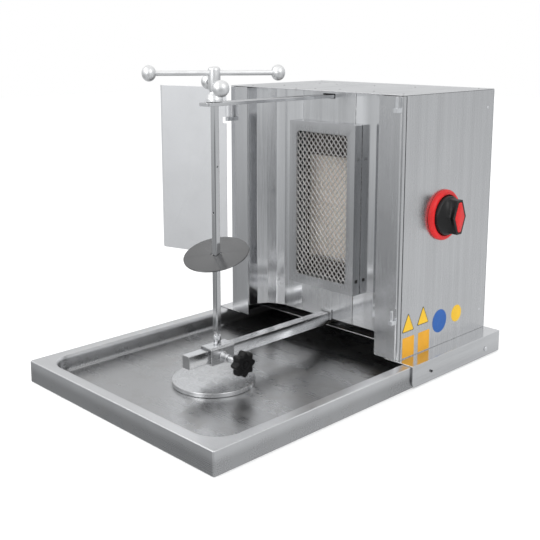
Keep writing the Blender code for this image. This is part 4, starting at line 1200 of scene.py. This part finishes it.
class GRILL_OT_clamp(bpy.types.Operator):
    """Make the lower arm, the sliding sleeve, the bearing and the clamp screw with its star grip."""

    bl_idname = "grill.clamp"
    bl_label = "Clamp"

    def execute(self, context):
        edge = sizes().edge
        refined("lower_arm", "grill", "brushed_steel", sheet_steel("Y", 0.32, 0.76), 0.0008, segments=3)
        refined("arm_seat", "grill", "brushed_steel", sheet_steel("Y", 0.34, 0.9), edge)
        refined("top_arm_guide", "grill", "brushed_steel", sheet_steel("Y", 0.34, 0.9), edge)

        half, top, low = SLEEVE_HIGH.x, SLEEVE_HIGH.z, SLEEVE_LOW.z
        wall, bend = 0.0016, 0.0042
        path = [(half, low + 0.0001)] + arc((half - bend, top - bend), bend, 0, 90, 8)
        path += arc((-half + bend, top - bend), bend, 90, 180, 8) + [(-half, low + 0.0001)]
        sheet = new_object("sleeve_sheet", prism(ribbon(path, wall), "Y", SLEEVE_LOW.y, SLEEVE_HIGH.y),
                           sheet_steel("Y", 0.30, 0.84), 30.0)
        screw = (0, SPIT_Y, CLAMP_Z)
        place(rounded(bored(sheet, SCREW_HOLE, 0.004, 0.016, screw), 0.0003), "carriage", "brushed_steel",
              "clamp_sleeve")
        inner = half - wall - 0.0001
        slip = ARM_HIGH.x + 0.0004
        path = [(inner, low + 0.0030), (inner, top - wall - 0.0001), (-inner, top - wall - 0.0001),
                (-inner, low + 0.0030)]
        liner = new_object("sleeve_liner", prism(ribbon(path, inner - slip), "Y", SLEEVE_LOW.y + 0.0012,
                                                 SLEEVE_HIGH.y - 0.0012), sheet_steel("Y", 0.26, 0.6), 30.0)
        place(rounded(bored(liner, SCREW_HOLE, 0.004, 0.016, screw), 0.0002), "carriage", "brushed_steel")
        solid = block((-half + wall + 0.0001, SLEEVE_LOW.y + 0.001, low),
                      (half - wall - 0.0001, SLEEVE_HIGH.y - 0.001, ARM_LOW.z - 0.0005))
        bar = new_object("sleeve_floor", solid, sheet_steel("Y", 0.30, 0.9), 30.0)
        place(rounded(bar, 0.0003), "carriage", "brushed_steel")

        low, high = BEARING_LOW.z, BEARING_HIGH.z
        profile = [(0, low), (0.0056, low), (0.0060, low + 0.0004), (0.0060, low + 0.0010),
                   (0.0055, low + 0.0014), (0.0055, high - 0.0012),
                   (0.0052, high - 0.0004), (0.0047, high), (0.0037, high), (0.0034, high - 0.0004),
                   (0.0034, low + 0.0030), (0, low + 0.0030)]
        cup = turned(profile, (0, SPIT_Y, 0), UP, 48)
        bearing = new_object("bearing_cup", cup, bright_chrome(), 30.0)
        place(bearing, "carriage", "bright_chrome", "spit_bearing")

        axis, start, end = (0, SPIT_Y, CLAMP_Z), NUT_LOW.x, NUT_HIGH.x
        collar, bore = 0.0085, SCREW_HOLE
        profile = [(bore, start), (collar - 0.0004, start), (collar, start + 0.0004),
                   (collar, start + 0.0024), (collar - 0.0005, start + 0.0030), (0.0062, start + 0.0030),
                   (0.0058, start + 0.0034), (0.0058, end - 0.0006), (0.0052, end), (bore, end)]
        ring = turned(profile, axis, (1, 0, 0), 48)
        nut = new_object("clamp_collar", ring, sheet_steel("X", 0.26, 1.05), 30.0)
        place(nut, "carriage", "brushed_steel", "clamp_nut")

        refined("clamp_pad", "clamp_foot", "brass", old_brass(), 0.0)
        low, high = STEM_LOW.x, STEM_HIGH.x
        core = 0.0036
        profile = [(0, low), (core - 0.0006, low), (core, low + 0.0006), (core, high - 0.0004),
                   (core - 0.0004, high), (0, high)]
        bolt = turned(profile, axis, (1, 0, 0), 32)
        stem = new_object("stem_core", bolt, sheet_steel("X", 0.22, 1.15), 30.0)
        place(stem, "clamp_screw", "bright_chrome", "clamp_stem")
        star = new_object("star_grip", star_grip(), moulded("black", 0.30, 0.20), 40.0)
        place(star, "clamp_screw", "black_plastic", "star_knob")
        return {"FINISHED"}


# Spit and discs

def square_hole(half, z, steps):
    """A square loop round the spit with as many points as the disc's rim."""
    points = []
    for step in range(steps):
        a = math.tau * (step + 0.5) / steps
        c, s = math.cos(a), math.sin(a)
        reach = half / max(abs(c), abs(s))
        points.append(Vector((reach * c, reach * s, z)))
    return points


def holed_disc(name, profile, low, high, centre, lean, finish, body, node, half=0.0063, steps=96):
    """A turned plate with a square hole."""
    turn = Vector((0, 0, 1)).rotation_difference(lean).to_matrix()
    loops = [square_hole(half, low, steps)]
    for radius, z in profile:
        angles = [math.tau * (step + 0.5) / steps for step in range(steps)]
        loops.append([Vector((radius * math.cos(a), radius * math.sin(a), z)) for a in angles])
    loops.append(square_hole(half, high, steps))
    loops.append(loops[0])
    bm = loft([[turn @ point + Vector(centre) for point in loop] for loop in loops], capped=False)
    bmesh.ops.remove_doubles(bm, verts=bm.verts, dist=1e-6)
    disc = new_object(name, bm, finish, 25.0)
    for face in disc.data.polygons:
        face.use_smooth = abs(face.normal.dot(lean)) < FLAT
    disc.modifiers.new("Flats", "WEIGHTED_NORMAL").keep_sharp = True
    return place(disc, body, "polished_steel", node)


class GRILL_OT_spit(bpy.types.Operator):
    """Make the square spit, the hanging disc and the disc that lies in the tray."""

    bl_idname = "grill.spit"
    bl_label = "Spit and discs"

    def execute(self, context):
        refined("spit", "spit", "brushed_steel", sheet_steel("Z", 0.12, 1.0), 0.0006)
        radius, half = UPPER_DISC_RADIUS, UPPER_DISC_HALF
        profile = [(radius - 0.0004, -half), (radius, -half + 0.0004), (radius, half - 0.0004),
                   (radius - 0.0004, half)]
        upper_low, upper_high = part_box("upper_disc")
        centre = (0, SPIT_Y, (upper_low.z + upper_high.z) / 2)
        # The hanging disc's steel is darkened to 0.18: painted shade.
        holed_disc("hanging_disc", profile, -half, half, centre, DISC_LEAN,
                   disc_steel(0.14, 0.18, SPIT_Y), "meat_disc", "upper_disc")
        low, high = LOWER_DISC_LOW.z, LOWER_DISC_HIGH.z
        middle = (LOWER_DISC_LOW + LOWER_DISC_HIGH) / 2
        rim = LOWER_DISC_HIGH.x - middle.x
        profile = [(0, low), (rim - 0.0005, low), (rim, low + 0.0005), (rim, high - 0.0009),
                   (rim - 0.0003, high - 0.0003), (rim - 0.0009, high), (0, high)]
        plate = new_object("tray_plate", turned(profile, (0, middle.y, 0), (0, 0, 1), 96),
                           disc_steel(0.22, 0.78, middle.y), 25.0)
        for face in plate.data.polygons:
            face.use_smooth = abs(face.normal.z) < FLAT
        place(plate, "tray_disc", "polished_steel", "lower_disc")
        return {"FINISHED"}


# Handle

def ball_profile(reach, across, along, hole, steps=28):
    """An egg-shaped ball with a blind hole towards the hub."""
    start = math.asin(hole / across)
    profile = [(0, reach - 0.0017), (hole, reach - 0.0017)]
    for step in range(steps + 1):
        angle = math.pi - start - (math.pi - start) * step / steps
        radius = across * math.sin(angle)
        profile.append((radius if step < steps else 0, reach + along * math.cos(angle)))
    return profile


class GRILL_OT_handle(bpy.types.Operator):
    """Make the cast hand wheel: hub, crossed rods and four balls, and the arm that holds it."""

    bl_idname = "grill.handle"
    bl_label = "Handle"

    def execute(self, context):
        low, high = HUB_LOW.z, HUB_HIGH.z
        profile = [(0, 0.4397), (0.0070, 0.4397), (0.0071, low), (0.0119, low), (0.0125, low + 0.0006),
                   (0.0125, low + 0.0036), (0.0122, low + 0.0046), (0.0112, low + 0.0080),
                   (0.0098, low + 0.0102), (0.0086, low + 0.0114), (0.0078, low + 0.0126), (0.0073, 0.4450),
                   (0.0073, 0.4466), (0.0079, 0.4476), (0.0087, 0.4484), (0.0089, 0.4496), (0.0089, 0.4760),
                   (0.0086, 0.4778), (0.0076, 0.4794), (0.0060, 0.4804), (0.0040, 0.4810), (0.0020, 0.4812),
                   (0, high)]
        casting = turned(profile, (0, SPIT_Y, 0), UP, 64)
        hub = new_object("hub_casting", casting, cast_aluminium(), 35.0)
        place(hub, "spit", "cast_aluminium", "handle_hub")
        for level in ("upper", "lower"):
            start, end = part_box(f"handle_rod_{level}")
            sign = 1 if level == "upper" else -1
            along = Vector((end.x - start.x, sign * (end.y - start.y), 0)).normalized()
            reach, radius = ROD_REACH, ROD_RADIUS
            profile = [(0, -reach), (radius - 0.0004, -reach), (radius, -reach + 0.0004),
                       (radius, reach - 0.0004), (radius - 0.0004, reach), (0, reach)]
            bar = turned(profile, (0, SPIT_Y, (start.z + end.z) / 2), along, 32)
            rod = new_object(f"wheel_rod_{level}", bar, cast_aluminium(), 30.0)
            place(rod, "spit", "cast_aluminium", f"handle_rod_{level}")
        for word in ("right", "left", "front", "rear"):
            start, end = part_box(f"handle_ball_{word}")
            middle = (start + end) / 2
            along = Vector((middle.x, middle.y - SPIT_Y, 0)).normalized()
            egg = turned(ball_profile(BALL_REACH, 0.0115, 0.0102, 0.0040), (0, SPIT_Y, middle.z), along, 48)
            ball = new_object(f"wheel_ball_{word}", egg, cast_aluminium(), 40.0)
            place(ball, "spit", "cast_aluminium", f"handle_ball_{word}")
        refined("top_arm", "top_slide", "brushed_steel", sheet_steel("Y", 0.22, 1.05), 0.0006, 25.0, 3)
        return {"FINISHED"}


# Side shield and its pegs

class GRILL_OT_shield(bpy.types.Operator):
    """Make the swinging side shield and the four hinge pegs."""

    bl_idname = "grill.shield"
    bl_label = "Side shield"

    def execute(self, context):
        refined("wing_left", "side_shield", "satin_shield", satin_steel(), 0.0003)
        for side in ("left", "right"):
            for level in ("lower", "upper"):
                refined(f"hinge_peg_{side}_{level}", "grill", "brushed_steel", bright_chrome(),
                        0.0012 if side == "right" else 0.0005, segments=3)
        return {"FINISHED"}


# Plain coloured plates on the right panel

def film(name, outline, finish, lift=0.0):
    """A thin plate on the right panel from a (y, z) outline."""
    low = HALF + 0.00002 + lift
    obj = new_object(name, prism(outline, "X", low, low + 0.00014), finish, 30.0)
    return place(obj, "grill", "brushed_steel")


def soft_triangle(y, z, half, height, radius):
    """A triangle with rounded corners, point up."""
    points = []
    corners = [(y + half, z), (y, z + height), (y - half, z)]
    inset = Vector((y, z + height * 0.36))
    for i, corner in enumerate(corners):
        here = Vector(corner)
        centre = here + (inset - here).normalized() * radius * 2.0
        facing = math.degrees(math.atan2((here - inset).y, (here - inset).x))
        points += arc(tuple(centre), radius, facing - 60, facing + 60, 6)
    return points


def disc_outline(y, z, radius):
    return arc((y, z), radius, 0, 354, 59)


class GRILL_OT_plates(bpy.types.Operator):
    """Make six plain coloured plates with no marks."""

    bl_idname = "grill.plates"
    bl_label = "Coloured plates"

    def execute(self, context):
        ink, yellow, orange, blue = (label_film(word) for word in ("ink", "yellow", "orange", "blue"))
        for number, (y, z) in enumerate(((0.1010, 0.0775), (0.1390, 0.0810))):
            film(f"plate_triangle_border_{number}", soft_triangle(y, z, 0.0155, 0.030, 0.0016), ink)
            inner = soft_triangle(y, z + 0.0012, 0.0136, 0.0265, 0.0012)
            film(f"plate_triangle_{number}", inner, yellow, 0.00016)
        film("plate_round_blue", disc_outline(0.184, 0.076, 0.019), blue)
        film("plate_round_orange", disc_outline(0.231, 0.0785, 0.014), yellow)
        for number, y in enumerate((0.1025, 0.1425)):
            outline = rounded_rectangle((y - 0.0148, 0.0372), (y + 0.0148, 0.0690), 0.0012, 4)
            film(f"plate_square_{number}", outline, orange)
        return {"FINISHED"}


# Fasteners

def on_axis(axis):
    """Euler turns that carry a dome's axis to a direction."""
    return {"Z": (0, 0, 0), "Y": (-math.pi / 2, 0, 0), "X": (0, math.pi / 2, 0)}[axis]


class GRILL_OT_fasteners(bpy.types.Operator):
    """Make the fastener heads on the roof, the rear cover and the right side."""

    bl_idname = "grill.fasteners"
    bl_label = "Fasteners"

    def execute(self, context):
        roof = [(x, y, ROOF_HIGH.z - 0.0012) for x, y in (
            (-0.150, 0.095), (-0.117, 0.139), (-0.119, 0.232), (-0.040, 0.088), (-0.008, 0.099),
            (0.029, 0.117), (0.100, 0.115), (0.172, 0.095), (0.172, 0.295), (0.078, 0.251),
            (0.002, 0.238), (-0.075, 0.228),
            (-0.172, 0.295))]
        rear = [(x, REAR_HIGH.y - 0.0004, z) for x in (-0.176, 0.176) for z in (0.060, 0.180, 0.300, 0.420)]
        rear += [(x, REAR_HIGH.y - 0.0004, z) for x in (-0.06, 0.06) for z in (0.050, 0.426)]
        side = [(HALF - 0.0004, 0.300, z) for z in (0.070, 0.410)]
        radius = sizes().rivet_radius
        tree = rivets_tree(bright_chrome())
        grown("roof_rivets", rivets_tree(sheet_steel("X", 0.30, 0.45)),
              {"Radius": radius * 1.1, "Rise": 0.0018, "Turn": on_axis("Z")}, "grill", "brushed_steel", roof)
        grown("rear_rivets", tree, {"Radius": radius * 1.3, "Rise": 0.0016, "Turn": on_axis("Y")},
              "grill", "bright_chrome", rear)
        grown("side_rivets", tree, {"Radius": radius, "Rise": 0.0010, "Turn": on_axis("X")},
              "grill", "bright_chrome", side)
        return {"FINISHED"}


OPERATORS = (GRILL_OT_stage, GRILL_OT_base, GRILL_OT_housing, GRILL_OT_chamber, GRILL_OT_burner,
             GRILL_OT_gas_train, GRILL_OT_gas_control, GRILL_OT_clamp, GRILL_OT_spit, GRILL_OT_handle,
             GRILL_OT_shield, GRILL_OT_plates, GRILL_OT_fasteners)


class GRILL_PT_pieces(bpy.types.Panel):
    """Lists the steps and the values that they read."""

    bl_idname = "GRILL_PT_pieces"
    bl_label = "Upright gas grill"
    bl_space_type = "VIEW_3D"
    bl_region_type = "UI"
    bl_category = "Grill"

    def draw(self, context):
        layout = self.layout
        for group in (sizes(), colours()):
            for name in group.bl_rna.properties.keys():
                if name not in ("rna_type", "name"):
                    layout.prop(group, name)
        for operator in OPERATORS:
            layout.operator(operator.bl_idname)


CLASSES = (GrillSizes, GrillFinishes, *OPERATORS, GRILL_PT_pieces)


def register():
    for item in CLASSES:
        bpy.utils.register_class(item)
    bpy.types.Scene.grill_sizes = PointerProperty(type=GrillSizes)
    bpy.types.Scene.grill_finishes = PointerProperty(type=GrillFinishes)


def unregister():
    del bpy.types.Scene.grill_finishes
    del bpy.types.Scene.grill_sizes
    for item in reversed(CLASSES):
        bpy.utils.unregister_class(item)


def main():
    """Register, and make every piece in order."""
    register()
    for operator in OPERATORS:
        group, name = operator.bl_idname.split(".")
        getattr(getattr(bpy.ops, group), name)()


if __name__ == "__main__":
    main()
